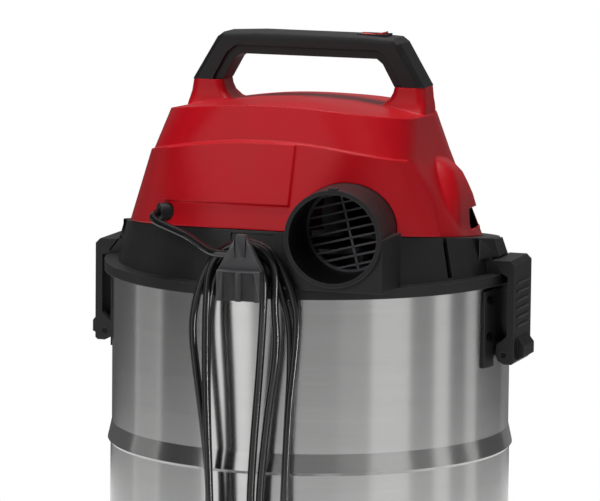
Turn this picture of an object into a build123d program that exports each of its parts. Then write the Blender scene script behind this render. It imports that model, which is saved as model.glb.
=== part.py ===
from build123d import *
import math
import os

# A wet and dry shop vacuum. Millimetres, +Z up, the origin on the floor under the drum's axis.
# The hose inlet faces -Y, the blower outlet and the cord hook face +Y, the latches lie along X.

# Drum
drum_radius = 165.0
drum_wall = 1.0
drum_low_radius = 166.0
drum_bottom = 62.0
drum_rim_top = 409.0
drum_corner = 14.0
rim_roll = 2.5
rim_roll_height = 4.5
bead_radius = 168.3
bead_z = 263.4
bead_flare = 15.0
bead_return = 2.6
drum_lip_inner = 140.0
drum_floor_edge = 148.0
drum_front_half = 58.0

# Base ring and casters
base_gap = 0.5
base_wall = 4.0
base_floor = 4.0
base_ledge = 2.0
base_ledge_inner = 156.0
base_plate_gap = 0.3
base_height = 46.0
lobe_radius = 22.0
lobe_height = 30.0
lobe_reach = 182.0
caster_gap = 0.5
stem_radius = 5.0
stem_length = 24.0
stem_clearance = 0.05
fork_plate_radius = 18.0
fork_plate = 6.0
fork_cheek = 4.0
wheel_radius = 22.0
wheel_width = 18.0
wheel_side_gap = 1.0
wheel_trail = 20.0
axle_radius = 3.0
axle_clearance = 0.05
base_screw_reach = 95.0
base_screw_radius = 2.5
base_screw_head = 5.0
base_screw_head_height = 2.5

# Hose inlet on the front of the drum
inlet_z = 335.0
inlet_bore = 58.0
inlet_wall = 4.0
inlet_plate = 104.0
inlet_plate_thick = 5.0
inlet_plate_corner = 18.0
inlet_seal_thick = 1.5
inlet_inner_reach = 40.0
inlet_screw_spread = 41.0
inlet_screw_radius = 2.2
inlet_screw_head = 4.2
inlet_screw_head_height = 2.4
baffle_wall = 3.0
baffle_reach = 34.0

# Latches and their brackets
latch_width = 50.0
latch_cheek = 6.0
latch_outer = 182.0
latch_web = 6.0
latch_top_z = 424.0
latch_bottom_z = 338.5
latch_tip = 163.4
latch_hook_lift = 1.2
latch_lip = 6.0
latch_lip_width = 30.0
latch_pivot_x = 173.5
latch_pivot_z = 346.0
latch_heel_radius = 7.0
latch_block_top = 358.0
latch_rib_count = 6
latch_rib_pitch = 7.1
latch_rib_top = 405.0
latch_rib_rise = 0.8
latch_rib_height = 1.8
latch_rib_width = 34.0
pin_radius = 2.5
pin_clearance = 0.06
ear_radius = 5.5
ear_thick = 5.0
ear_gap = 0.8
bracket_thick = 2.2
bracket_gap = 0.1
bracket_width = 84.0
bracket_bottom_z = 337.0
bracket_top_z = 400.0
bracket_notch_top = 357.0
bracket_relief = 1.5
rivet_radius = 1.6
rivet_head = 3.6
rivet_head_height = 1.2
rivet_spread = 34.0
rivet_rows = (362.0, 392.0)

# Collar of the head
flange_radius = 171.7
flange_bottom = 404.0
flange_top = 412.4
flange_skirt = 3.4
seal_thick = 1.4
collar_low_radius = 160.5
collar_high_radius = 154.5
collar_wall = 3.0
split_z = 439.0
split_slope = 6.2
split_hole = 126.0
collar_deck = 4.0
deck_hole = 36.0
lug_width = 46.0
lug_slope = 52.0
lug_gap = 0.4
lug_root = 154.0
lug_block_reach = 165.0
lug_block_width = 68.0
lug_block_lift = 1.2
hook_panel = (-17.0, 19.0)
hook_panel_depth = 1.2
hook_panel_margin = 2.5
slot_turn = 62.5
slot_width = 3.3
slot_depth = 1.6

# Red motor cover: half width, back, front, corner radius and height of each section
cover_wall = 3.0
cover_foot = (141.0, 146.0, -125.0, 118.0, split_z)
cover_crease = (108.0, 122.0, -68.0, 40.0, 508.0)
cover_shoulder = (100.0, 114.0, -58.0, 38.0, 534.0)
cover_round = (94.0, 106.0, -50.0, 36.0, 542.0)
cover_crown = (62.0, 62.0, -14.0, 26.0, 552.0)
crown_slope = 1.5
cover_panel = (-27.4, 84.0)
cover_panel_depth = 1.2
cover_panel_foot = 19.0
post_centre = 87.0
post_y = 2.0
post_top_half = (13.0, 17.0)
post_foot_half = (20.0, 30.0)
post_corner = 9.0
post_top_z = 561.0
post_foot_z = 528.0
pod_reach_low = 141.0
pod_reach_high = 123.0
pod_half_low = 50.0
pod_half_high = 40.0
pod_high_z = 491.0
pod_corner = 12.0
vent_width = 62.0
vent_height = 20.0
vent_z = 461.0
vent_depth = 8.0
vent_gap = 0.3
vent_slats = 7
vent_slat = 3.0

# Handle
grip_top_z = 602.0
grip_bottom_z = 583.0
handle_shoulder_x = 79.0
handle_shoulder_z = 596.5
handle_hole_top = 63.0
handle_depth = 34.0
handle_edge = 5.0
handle_band = 7.5
handle_band_depth = 4.0
handle_screw_radius = 2.0
handle_screw_length = 18.0
handle_screw_spread = 18.0
switch_x = -53.0
switch_length = 20.0
switch_width = 13.0
switch_height = 7.0
switch_gap = 1.0
switch_pocket = 10.0
bezel_wall = 1.6
bezel_rise = 0.8
switch_pin = 1.2
switch_tilt = 5.0

# Blower outlet
outlet_x = -75.0
outlet_y = 178.0
outlet_z = 455.6
outlet_yaw = 6.0
outlet_bore = 71.0
outlet_wall = 3.5
outlet_length = 72.0
outlet_fit = 0.4
outlet_step = 3.0
outlet_lug = 7.0
grille_thick = 3.0
grille_seat_radius = 34.3
grille_gap = 0.2
grille_bars = 6
grille_bar = 3.2
grille_turn = 15.0
cradle_reach = 58.0

# Cord, gland and hook
cord_radius = 3.2
gland_foot = (72.0, 124.0, 464.0)
gland_direction = (0.80, 0.60, 0.0)
gland_length = 18.0
gland_radius = 7.5
gland_flange_radius = 9.2
gland_flange = 2.5
gland_bore_gap = 0.15
gland_depth = 8.0
hook_x = -6.0
hook_neck_radius = 14.2
hook_neck_stem = 10.5
hook_neck_z = 422.5
hook_box_width = 40.0
hook_box_bottom = 401.5
hook_box_top = 426.0
hook_box_front = 206.6
hook_plate_back = 195.2
hook_plate_front = 201.6
hook_apex_z = 456.5
hook_apex_width = 7.0
hook_rib = 5.0
hook_groove = 1.4
hook_seat_gap = 0.3

# Route of the lead from the gland to the top of the hank, and the hank's own loops
cord_front_y = 190.8
cord_middle_y = 183.2
cord_back_y = 175.6
lead_points = [
    (90.0, 137.5, 464.0),
    (91.0, 147.0, 457.0),
    (78.0, 153.0, 452.5),
    (57.0, 160.0, 450.5),
    (34.0, 183.5, 446.6),
    (17.0, 190.8, 440.5),
]
loop_low = 440.5
loop_step = 7.5
loop_foot_x = 2.0
loop_foot_z = 72.0
loop_foot_radius = 19.2
loop_top_radii = (18.0, 33.5, 26.0, 36.0, 30.0, 43.5, 40.0)
climb_length = 70.0
climb_start = 12.0
tail_run = 180.0
tail_straight = 14.0
tail_points = [(-44.0, 177.0, 196.0), (-60.0, 182.0, 160.0)]
plug_top = (-60.0, 182.0, 136.0)
plug_relief = 26.0
plug_body = 34.0
plug_half = (18.0, 13.0)
plug_pin_radius = 2.4
plug_pin_length = 19.0
plug_pin_spread = 19.0

# Filter, float and motor, inside
cage_radius = 50.0
cage_wall = 2.5
cage_bottom_z = 318.0
cage_slots = 12
cage_slot_width = 9.0
cage_flange = 62.0
filter_inner_gap = 1.0
filter_thick = 22.0
filter_pleats = 24
filter_pleat_depth = 4.0
retainer_thick = 5.0
retainer_gap = 0.3
filter_overhang = 7.0
float_radius = 46.8
float_height = 26.0
float_rest_gap = 0.4
fan_radius = 60.0
fan_height = 16.0
fan_gap = 2.0
fan_blades = 8
fan_eye = 24.0
housing_radius = 68.0
housing_wall = 2.5
stator_radius = 44.0
stator_height = 44.0
stator_gap = 0.6
armature_radius = 25.0
shaft_radius = 4.0
shaft_clearance = 0.05
bearing_radius = 11.0
bearing_height = 7.0
motor_cap = 8.0
brush_length = 12.0
screw_radius = 2.2
screw_head_radius = 4.2
screw_head_height = 2.6
screw_length = 14.0
cover_screw_turn = 35.0

# Values that follow from the sizes above
base_bottom = drum_bottom - base_floor
base_inner = drum_low_radius + base_gap
base_outer = base_inner + base_wall
fork_top = base_bottom - caster_gap
split_tilt = math.tan(math.radians(split_slope))
outlet_radius = outlet_bore / 2 + outlet_wall
inlet_radius = inlet_bore / 2 + inlet_wall
deck_top = flange_bottom + collar_deck
fan_low = deck_top + fan_gap
housing_top = fan_low + fan_height + fan_gap
stator_low = housing_top + housing_wall + bearing_height
stator_top = stator_low + stator_height
shaft_top = stator_top + motor_cap + 2 * bearing_height
sides = {"left": 1, "right": -1}
corners = [(1, 1), (-1, 1), (-1, -1), (1, -1)]


def save(node, *solids):
    """Write one node, a single solid or a group of like solids."""
    pieces = [piece for solid in solids for piece in solid.solids()]
    shape = pieces[0] if len(pieces) == 1 else Compound(pieces)
    export_step(shape, os.path.join("parts", node + ".step"))


def turned(*points):
    """A body turned about Z from its half outline of radius and height."""
    return revolve(Plane.XZ * make_face(Polyline(*points, close=True)), Axis.Z)


def tube(inner, outer, low, high):
    return turned((inner, low), (outer, low), (outer, high), (inner, high))


def rod(start, end, radius):
    """A round bar between two points."""
    way = Vector(*end) - Vector(*start)
    return extrude(Plane(origin=start, z_dir=way) * Circle(radius), way.length)


def block(x0, x1, y0, y1, z0, z1):
    return Pos((x0 + x1) / 2, (y0 + y1) / 2, (z0 + z1) / 2) * Box(abs(x1 - x0), abs(y1 - y0), abs(z1 - z0))


def side_plate(points, y0, y1):
    """An outline in X and Z, made thick from y0 to y1."""
    face = Plane.XZ.offset(-y0) * make_face(Polyline(*points, close=True))
    return extrude(face, y0 - y1)


def drum_outline(inset):
    """Half outline of the drum's wall from its bottom lip to below the rim, set in by the inset."""
    upper = drum_radius - inset
    lower = drum_low_radius - inset
    corner = drum_corner - inset
    low = drum_bottom + inset
    bend = (lower - corner, low + corner)
    half = math.sqrt(0.5)
    return [
        Line((drum_lip_inner, low), (lower - corner, low)),
        ThreePointArc(
            (lower - corner, low),
            (bend[0] + corner * half, bend[1] - corner * half),
            (lower, bend[1]),
        ),
        Polyline(
            (lower, bend[1]),
            (lower, bead_z - bead_return),
            (bead_radius - inset, bead_z),
            (upper, bead_z + bead_flare),
            (upper, drum_rim_top - rim_roll_height),
        ),
    ]


def make_drum():
    """Rolled wall with one flared bead, a rim, and an inward lip that carries the floor.

    It comes as the wall, open at the front, and the front panel that carries the hose inlet.
    """
    outer = drum_radius
    inner = outer - drum_wall
    roll_low = drum_rim_top - rim_roll_height
    rim = Polyline(
        (outer, roll_low),
        (outer + rim_roll, roll_low + rim_roll / 2),
        (outer + rim_roll, drum_rim_top),
        (inner, drum_rim_top),
        (inner, roll_low),
    )
    lip = Line((drum_lip_inner, drum_bottom), (drum_lip_inner, drum_bottom + drum_wall))
    outline = Wire([
        *(e for line in drum_outline(0) for e in line.edges()),
        *rim.edges(),
        *(e for line in drum_outline(drum_wall) for e in line.edges()),
        lip.edge(),
    ])
    drum = revolve(Plane.XZ * make_face(outline), Axis.Z)
    drum -= rod((0, -outer * 0.7, inlet_z), (0, -outer * 1.2, inlet_z), inlet_radius + base_gap)
    for x, z in inlet_screw_places():
        drum -= rod((x, -outer * 0.7, z), (x, -outer * 1.2, z), inlet_screw_radius + pin_clearance)
    for hole in rivet_shanks(pin_clearance):
        drum -= hole
    front = block(-drum_front_half, drum_front_half, -outer * 1.2, -outer * 0.6, 0, drum_rim_top * 1.2)
    return drum - front, drum & front


def make_drum_floor():
    """Round plate that lies on the wall's lip and closes the drum."""
    low = drum_bottom + drum_wall
    plate = tube(0, drum_floor_edge, low, low + drum_wall)
    for x, y in base_screw_places():
        plate -= rod((x, y, low), (x, y, low + drum_wall), base_screw_radius + pin_clearance)
    return plate


def base_screw_places():
    reach = base_screw_reach / math.sqrt(2)
    return [(sx * reach, sy * reach) for sx, sy in corners]


def caster_places():
    reach = lobe_reach / math.sqrt(2)
    return [(sx * reach, sy * reach) for sx, sy in corners]


def make_base():
    """Ring round the drum's foot with a ledge for the plate and a lobe for each caster."""
    rim = base_bottom + base_height
    ledge = base_bottom + base_ledge
    base = turned(
        (base_ledge_inner, base_bottom),
        (base_outer - base_floor, base_bottom),
        (base_outer, base_bottom + base_floor),
        (base_outer, rim),
        (base_inner, rim),
        (base_inner, ledge),
        (base_ledge_inner, ledge),
    )
    lobe = extrude(Circle(lobe_radius), lobe_height)
    room = tube(0, base_inner, ledge, rim + base_floor) + tube(0, base_ledge_inner, base_bottom, ledge)
    for x, y in caster_places():
        base += Pos(x, y, base_bottom) * lobe - room
    for x, y in caster_places():
        top = fork_top + stem_length
        base -= rod((x, y, base_bottom - base_floor), (x, y, top), stem_radius + stem_clearance)
    return base


def make_base_plate():
    """Stepped round plate in the base ring, which the drum stands on and is screwed to."""
    ledge = base_bottom + base_ledge
    edge = base_inner - base_plate_gap
    step = base_ledge_inner - base_plate_gap
    plate = turned(
        (0, base_bottom),
        (step, base_bottom),
        (step, ledge),
        (edge, ledge),
        (edge, drum_bottom),
        (0, drum_bottom),
    )
    seat = base_bottom + base_screw_head_height
    for x, y in base_screw_places():
        plate -= rod((x, y, base_bottom), (x, y, drum_bottom), base_screw_radius + pin_clearance)
        plate -= rod((x, y, base_bottom), (x, y, seat), base_screw_head + base_gap)
    return plate


def make_base_screws():
    screws = []
    for x, y in base_screw_places():
        low = base_bottom
        shoulder = low + base_screw_head_height
        head = rod((x, y, low), (x, y, shoulder), base_screw_head)
        screws.append(head + rod((x, y, shoulder), (x, y, drum_bottom + 3 * drum_wall), base_screw_radius))
    return screws


def make_caster(x, y):
    """Fork with its stem, wheel and axle of one caster, the wheel trailing toward +Y."""
    axle_y = y + wheel_trail
    half = wheel_width / 2 + wheel_side_gap
    plate_low = fork_top - fork_plate
    fork = rod((x, y, plate_low), (x, y, fork_top), fork_plate_radius)
    fork += rod((x, y, fork_top), (x, y, fork_top + stem_length - caster_gap), stem_radius)
    for side in (1, -1):
        inner = x + side * half
        outer = x + side * (half + fork_cheek)
        outline = make_face(Polyline(
            (y - fork_plate_radius * 0.6, fork_top),
            (y + fork_plate_radius * 0.8, fork_top),
            (axle_y + 2 * axle_radius, wheel_radius),
            (axle_y, wheel_radius - 2 * axle_radius),
            (axle_y - 2 * axle_radius, wheel_radius),
            close=True,
        ))
        fork += extrude(Plane.YZ.offset(min(inner, outer)) * outline, fork_cheek)
    ends = half + fork_cheek
    near = (x - ends, axle_y, wheel_radius)
    far = (x + ends, axle_y, wheel_radius)
    fork -= rod(near, far, axle_radius + axle_clearance / 2)
    fork -= block(x - half, x + half, y - lobe_radius, axle_y + wheel_radius, 0, plate_low)
    tyre = Plane.YZ.offset(x - wheel_width / 2) * Pos(axle_y, wheel_radius) * Circle(wheel_radius)
    wheel = extrude(tyre, wheel_width)
    wheel = fillet(wheel.edges().filter_by(GeomType.CIRCLE), wheel_width / 6)
    hub = wheel_radius * 0.72
    for side in (1, -1):
        ring = Plane.YZ.offset(x + side * wheel_width / 2) * Pos(axle_y, wheel_radius) * (
            Circle(hub) - Circle(hub / 2))
        wheel -= extrude(ring, -side * wheel_width / 5)
    wheel -= rod(near, far, axle_radius + axle_clearance)
    axle = rod(near, far, axle_radius)
    return fork, wheel, axle


def inlet_screw_places():
    return [(sx * inlet_screw_spread, inlet_z + sz * inlet_screw_spread) for sx, sz in corners]


def drum_block(gap):
    """The drum's outside as a plain round bar, wider by the gap."""
    return rod((0, 0, drum_bottom), (0, 0, flange_bottom), drum_radius + gap)


def make_inlet():
    """Port with its curved saddle plate, and the seal between plate and drum."""
    out = hook_box_front
    plate_face = Plane.XZ.offset(drum_radius * 0.8) * Pos(0, inlet_z) * RectangleRounded(
        inlet_plate, inlet_plate, inlet_plate_corner)
    slab = extrude(plate_face, drum_radius * 0.4)
    reach = drum_radius + inlet_seal_thick
    saddle = slab & (rod((0, 0, drum_bottom), (0, 0, flange_bottom), reach + inlet_plate_thick) - drum_block(
        inlet_seal_thick))
    pipe = rod((0, -drum_radius + inlet_inner_reach, inlet_z), (0, -out, inlet_z), inlet_radius)
    mouth = rod((0, -out, inlet_z), (0, -out + inlet_plate_thick, inlet_z), inlet_radius + inlet_wall / 2)
    port = saddle + pipe + mouth
    port -= rod((0, 0, inlet_z), (0, -out - inlet_wall, inlet_z), inlet_bore / 2)
    seal = slab & (drum_block(inlet_seal_thick) - drum_block(0))
    seal -= rod((0, 0, inlet_z), (0, -out, inlet_z), inlet_radius + base_gap)
    for x, z in inlet_screw_places():
        hole = rod((x, 0, z), (x, -out, z), inlet_screw_radius + pin_clearance)
        port -= hole
        seal -= hole
    return port, seal


def make_inlet_screws():
    screws = []
    for x, z in inlet_screw_places():
        outside = drum_radius + inlet_seal_thick + inlet_plate_thick
        seat = math.sqrt(outside**2 - (abs(x) - inlet_screw_head) ** 2)
        head = rod((x, -seat, z), (x, -seat - inlet_screw_head_height, z), inlet_screw_head)
        screws.append(head + rod((x, -seat + 4 * inlet_plate_thick, z), (x, -seat, z), inlet_screw_radius))
    return screws


def make_baffle():
    """Hood on the pipe's inner end that turns the air down along the drum."""
    y = -drum_radius + inlet_inner_reach
    outer = inlet_radius + base_gap + baffle_wall
    bore = inlet_radius + base_gap / 4
    hood = rod((0, y - baffle_wall * 3, inlet_z), (0, y + baffle_reach, inlet_z), outer)
    hood -= rod((0, y - baffle_wall * 3, inlet_z), (0, y + baffle_reach - baffle_wall, inlet_z), bore)
    end = y + baffle_reach - baffle_wall
    return hood - block(-outer, outer, y + baffle_wall, end, inlet_z - outer, inlet_z - bore / 2)


def rivet_shanks(gap):
    """The shank of every bracket rivet, along the drum's radius."""
    shanks = []
    for side in sides.values():
        for sy in (1, -1):
            for z in rivet_rows:
                shanks.append(radial_rod(side, sy * rivet_spread, z, drum_radius - 3 * drum_wall,
                                         drum_radius + bracket_gap + bracket_thick, rivet_radius + gap))
    return shanks


def radial_rod(side, y, z, near, far, radius):
    """A round bar along the drum's radius through the place beside the latch."""
    x = side * math.sqrt(drum_radius**2 - y**2)
    way = Vector(x, y, 0).normalized()
    start = way * near + Vector(0, 0, z)
    end = way * far + Vector(0, 0, z)
    return rod(tuple(start), tuple(end), radius)


def make_rivets():
    rivets = []
    root = drum_radius - 3 * drum_wall
    foot = drum_radius + bracket_gap + bracket_thick
    for side in sides.values():
        for sy in (1, -1):
            for z in rivet_rows:
                y = sy * rivet_spread
                shank = radial_rod(side, y, z, root, foot, rivet_radius)
                rivets.append(shank + radial_rod(side, y, z, foot, foot + rivet_head_height, rivet_head))
    return rivets


def make_bracket(side):
    """Curved plate riveted to the drum, with two ears that hold the latch's pin."""
    inner = drum_radius + bracket_gap
    ring = tube(inner, inner + bracket_thick, bracket_bottom_z, bracket_top_z)
    half = bracket_width / 2
    out = side * 2 * drum_radius
    plate = ring & block(0, out, -half, half, bracket_bottom_z, bracket_top_z)
    cheek_in = latch_width / 2 - latch_cheek
    cheek_out = latch_width / 2 + ear_gap
    below = latch_pivot_z - bracket_relief
    plate -= block(0, out, -cheek_out, cheek_out, bracket_bottom_z - base_gap, below)
    for sy in (1, -1):
        cheek_y = sy * (cheek_in - ear_gap / 2)
        plate -= block(0, out, cheek_y, sy * cheek_out, bracket_bottom_z, bracket_notch_top)
    pivot = side * latch_pivot_x
    for sy in (1, -1):
        y0 = sy * (cheek_in - ear_gap)
        y1 = sy * (cheek_in - ear_gap - ear_thick)
        web = side_plate(
            [
                (side * (inner - ear_gap), below),
                (pivot, below),
                (pivot, latch_pivot_z + ear_radius),
                (side * (inner - ear_gap), latch_pivot_z + 2 * ear_radius),
            ],
            y0,
            y1,
        )
        ear = web + rod((pivot, y0, latch_pivot_z), (pivot, y1, latch_pivot_z), ear_radius)
        plate += ear - rod((0, 0, bracket_bottom_z), (0, 0, bracket_top_z), inner)
    near = (pivot, -latch_width, latch_pivot_z)
    far = (pivot, latch_width, latch_pivot_z)
    plate -= rod(near, far, pin_radius + pin_clearance / 3)
    for hole in rivet_shanks(pin_clearance):
        plate -= hole
    return plate


def make_latch(side):
    """Latch of C outline: its hook reaches over the collar's lug, its heel turns on the pin."""
    rise = math.tan(math.radians(lug_slope))
    web_in = latch_outer - latch_web
    hook_low = flange_top + latch_hook_lift
    under = latch_tip + (latch_top_z - 1.0 - hook_low) / rise
    outline = [
        (latch_outer - 2, latch_bottom_z),
        (latch_outer, latch_bottom_z + 2),
        (latch_outer, latch_top_z - 4),
        (latch_outer - 4, latch_top_z),
        (latch_tip, latch_top_z),
        (latch_tip, latch_top_z - 1.0),
        (under, hook_low),
        (web_in, hook_low - 3),
        (web_in, latch_block_top + 4),
        (latch_pivot_x - latch_heel_radius + 1, latch_block_top - 4),
        (latch_pivot_x - latch_heel_radius, latch_pivot_z),
        (latch_pivot_x - latch_heel_radius * 0.7, latch_pivot_z - latch_heel_radius * 0.7),
        (latch_pivot_x, latch_bottom_z),
    ]
    half = latch_width / 2
    latch = side_plate([(side * x, z) for x, z in outline], half, -half)
    lip = [
        (latch_outer - 1, latch_block_top + 4),
        (latch_outer + latch_lip, latch_block_top - 5),
        (latch_outer + latch_lip, latch_pivot_z - 2),
        (latch_outer - 1, latch_bottom_z + 2),
    ]
    latch += side_plate([(side * x, z) for x, z in lip], latch_lip_width / 2, -latch_lip_width / 2)
    inner = half - latch_cheek
    web_pocket = latch_outer - latch_web / 3
    latch -= block(side * drum_radius, side * web_in, -inner, inner, latch_bottom_z - 1, latch_block_top + 6)
    latch -= rod((side * latch_pivot_x, -inner, latch_pivot_z), (side * latch_pivot_x, inner, latch_pivot_z),
                 web_pocket - latch_pivot_x)
    latch -= rod((side * latch_pivot_x, -half, latch_pivot_z), (side * latch_pivot_x, half, latch_pivot_z),
                 pin_radius + pin_clearance)
    for i in range(latch_rib_count):
        z = latch_rib_top - i * latch_rib_pitch
        low = z - latch_rib_height / 2
        rise_to = side * (latch_outer + latch_rib_rise)
        wide = latch_rib_width / 2
        latch += block(side * (latch_outer - 1), rise_to, -wide, wide, low, low + latch_rib_height)
    return latch


def make_latch_pin(side):
    x = side * latch_pivot_x
    return rod((x, -latch_width / 2, latch_pivot_z), (x, latch_width / 2, latch_pivot_z), pin_radius)


def tilted(z, slope):
    """A plane through the axis at a height, rising toward the back by the slope in degrees."""
    turn = math.radians(slope)
    return Plane(origin=(0, 0, z), x_dir=(1, 0, 0), z_dir=(0, -math.sin(turn), math.cos(turn)))


split = tilted(split_z, split_slope)


def below_split(drop):
    """All the room under the split between collar and cover, lowered by the drop."""
    size = 4 * drum_radius
    return split.offset(-drop) * Pos(0, 0, -size / 2) * Box(size, size, size)


def cone_radius(z):
    slope = (collar_low_radius - collar_high_radius) / (split_z - flange_top)
    return collar_low_radius - slope * (z - flange_top)


def collar_outside(gap):
    """The collar's outer form with its flange, grown by the gap."""
    top = split_z + drum_radius * split_tilt
    return turned(
        (0, flange_bottom - gap),
        (flange_radius + gap, flange_bottom - gap),
        (flange_radius + gap, flange_top + gap),
        (collar_low_radius + gap, flange_top + gap),
        (cone_radius(top) + gap, top),
        (0, top),
    )


outlet_way = (-math.sin(math.radians(outlet_yaw)), math.cos(math.radians(outlet_yaw)), 0)
outlet = Plane(origin=(outlet_x, outlet_y, outlet_z), x_dir=(0, 0, 1), z_dir=outlet_way)


def outlet_rod(radius, start, end):
    """A round bar on the outlet's axis, measured inward from its rim."""
    return outlet.offset(-end) * extrude(Circle(radius), end - start)


def make_collar():
    body = collar_outside(0) & below_split(0)
    top = split_z + drum_radius * split_tilt
    room = turned(
        (0, deck_top),
        (collar_low_radius - collar_wall, deck_top),
        (cone_radius(top) - collar_wall, top),
        (0, top),
    )
    body -= room & below_split(collar_wall)
    body -= tube(0, split_hole, deck_top, top)
    groove_out = flange_radius - flange_skirt
    body -= tube(collar_low_radius - base_gap, groove_out, flange_bottom, drum_rim_top + seal_thick)
    body -= tube(0, deck_hole, flange_bottom, deck_top)
    rise = math.tan(math.radians(lug_slope))
    gap = lug_gap / math.sin(math.radians(lug_slope))
    tip_z = latch_top_z - 1.0
    lug_top = tip_z + 3.0
    for side in sides.values():
        lug = [
            (lug_root, flange_top - seal_thick),
            (latch_tip - gap + (tip_z - flange_top + seal_thick) / rise, flange_top - seal_thick),
            (latch_tip - gap - (lug_top - tip_z) / rise, lug_top),
            (lug_root, lug_top),
        ]
        wedge = side_plate([(side * x, z) for x, z in lug], lug_width / 2, -lug_width / 2)
        room_side = tube(0, collar_low_radius - collar_wall, deck_top, top)
        wedge &= tube(0, flange_radius - lug_gap, flange_bottom, top)
        body += wedge - room_side
        lug_low = latch_top_z + lug_block_lift
        wide = lug_block_width / 2
        shelf = block(side * lug_root, side * lug_block_reach, -wide, wide, lug_low, top)
        body += (shelf & below_split(0)) - room_side
    skin = collar_outside(0) - collar_outside(-hook_panel_depth)
    panel_low = flange_top + hook_panel_margin
    panel = block(*hook_panel, 0, drum_radius, panel_low, top) & below_split(hook_panel_margin)
    body -= skin & panel
    slot_out = collar_low_radius - slot_depth
    slot = block(slot_out, drum_radius, -slot_width / 2, slot_width / 2, panel_low, top)
    body -= Rot(0, 0, 90 + slot_turn) * slot & below_split(0)
    body -= outlet_rod(outlet_radius + outlet_fit, 0, outlet_length + outlet_wall)
    for screw in cover_screw_bars(pin_clearance):
        body -= screw
    return body


def cover_screw_places():
    """Places beside the rounded corners of the cover's foot, in the split's own plane."""
    half, back, front, corner, height = cover_foot
    reach = corner - cover_wall - 3 * screw_radius
    turn = math.radians(cover_screw_turn)
    places = []
    for sx, sy in corners:
        middle = back - corner if sy > 0 else front + corner
        places.append((sx * (half - corner + reach * math.cos(turn)), middle + sy * reach * math.sin(turn)))
    return places


def cover_screw_bars(gap):
    """Screw shanks square to the split, through the collar's top into the cover's bosses."""
    return [split * Pos(x, y, -collar_wall) * extrude(Circle(screw_radius + gap), screw_length)
            for x, y in cover_screw_places()]


def make_cover_screws():
    head = extrude(Circle(screw_head_radius), screw_head_height)
    low = -collar_wall - screw_head_height
    heads = [split * Pos(x, y, low) * head for x, y in cover_screw_places()]
    return [shank + head for shank, head in zip(cover_screw_bars(0), heads)]


def cover_section(size, slope, inset, drop):
    half, back, front, corner, z = size
    outline = RectangleRounded(2 * (half - inset), back - front - 2 * inset, corner - inset)
    return tilted(z - drop, slope) * Pos(0, (back + front) / 2) * outline


def cover_form(inset, foot_drop, top_drop):
    return loft(
        [
            cover_section(cover_foot, split_slope, inset, foot_drop),
            cover_section(cover_crease, split_slope, inset, 0),
            cover_section(cover_shoulder, split_slope, inset, top_drop / 2),
            cover_section(cover_round, split_slope, inset, top_drop),
            cover_section(cover_crown, crown_slope, inset, top_drop),
        ],
        ruled=True,
    )


def make_post(side):
    foot = Plane.XY.offset(post_foot_z) * Pos(side * post_centre, post_y) * RectangleRounded(
        2 * post_foot_half[0], 2 * post_foot_half[1], post_corner)
    top = Plane.XY.offset(post_top_z) * Pos(side * post_centre, post_y) * RectangleRounded(
        2 * post_top_half[0], 2 * post_top_half[1], post_corner)
    return loft([foot, top], ruled=True)


def make_pod(side):
    """Bulge on the cover's flank that carries the cooling vent."""
    root = pod_reach_high - 3 * pod_corner
    sections = []
    low = (split_z, pod_reach_low, pod_half_low)
    high = (pod_high_z, pod_reach_high, pod_half_high)
    for z, reach, half in (low, high):
        outline = RectangleRounded(reach - root, 2 * half, pod_corner)
        sections.append(tilted(z, split_slope) * Pos(side * (reach + root) / 2, 0) * outline)
    return loft(sections, ruled=True)


def vent_block(side, grow, deep, shallow):
    half_w = vent_width / 2 + grow
    half_h = vent_height / 2 + grow
    return block(side * deep, side * shallow, -half_w, half_w, vent_z - half_h, vent_z + half_h)


def make_vent(side):
    """Slatted panel that closes the pod's vent."""
    face = pod_reach_high + vent_depth
    panel = vent_block(side, -vent_gap, face - vent_slat, face)
    pitch = (vent_width - 2 * vent_slat) / vent_slats
    for i in range(vent_slats):
        y = -vent_width / 2 + vent_slat + (i + 0.5) * pitch
        half = (pitch - vent_slat) / 2
        tall = vent_height / 2 - vent_slat
        panel -= block(side * (face - 2 * vent_slat), side * (face + vent_slat), y - half, y + half,
                       vent_z - tall, vent_z + tall)
    return panel


def handle_screw_places():
    half = handle_screw_spread / 2
    return [(side * post_centre, post_y + away) for side in sides.values() for away in (half, -half)]


def handle_screw_low():
    return post_top_z - handle_screw_length / 2


def make_handle_screws():
    screws = []
    for x, y in handle_screw_places():
        low = handle_screw_low()
        head = rod((x, y, low - screw_head_height), (x, y, low), screw_head_radius)
        screws.append(head + rod((x, y, low), (x, y, low + handle_screw_length), handle_screw_radius))
    return screws


gland_axis = Vector(*gland_direction).normalized()


def gland_rod(start, end, radius):
    """A round bar on the gland's axis, measured outward from its seat on the cover."""
    foot = Vector(*gland_foot)
    return rod(tuple(foot + gland_axis * start), tuple(foot + gland_axis * end), radius)


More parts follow.
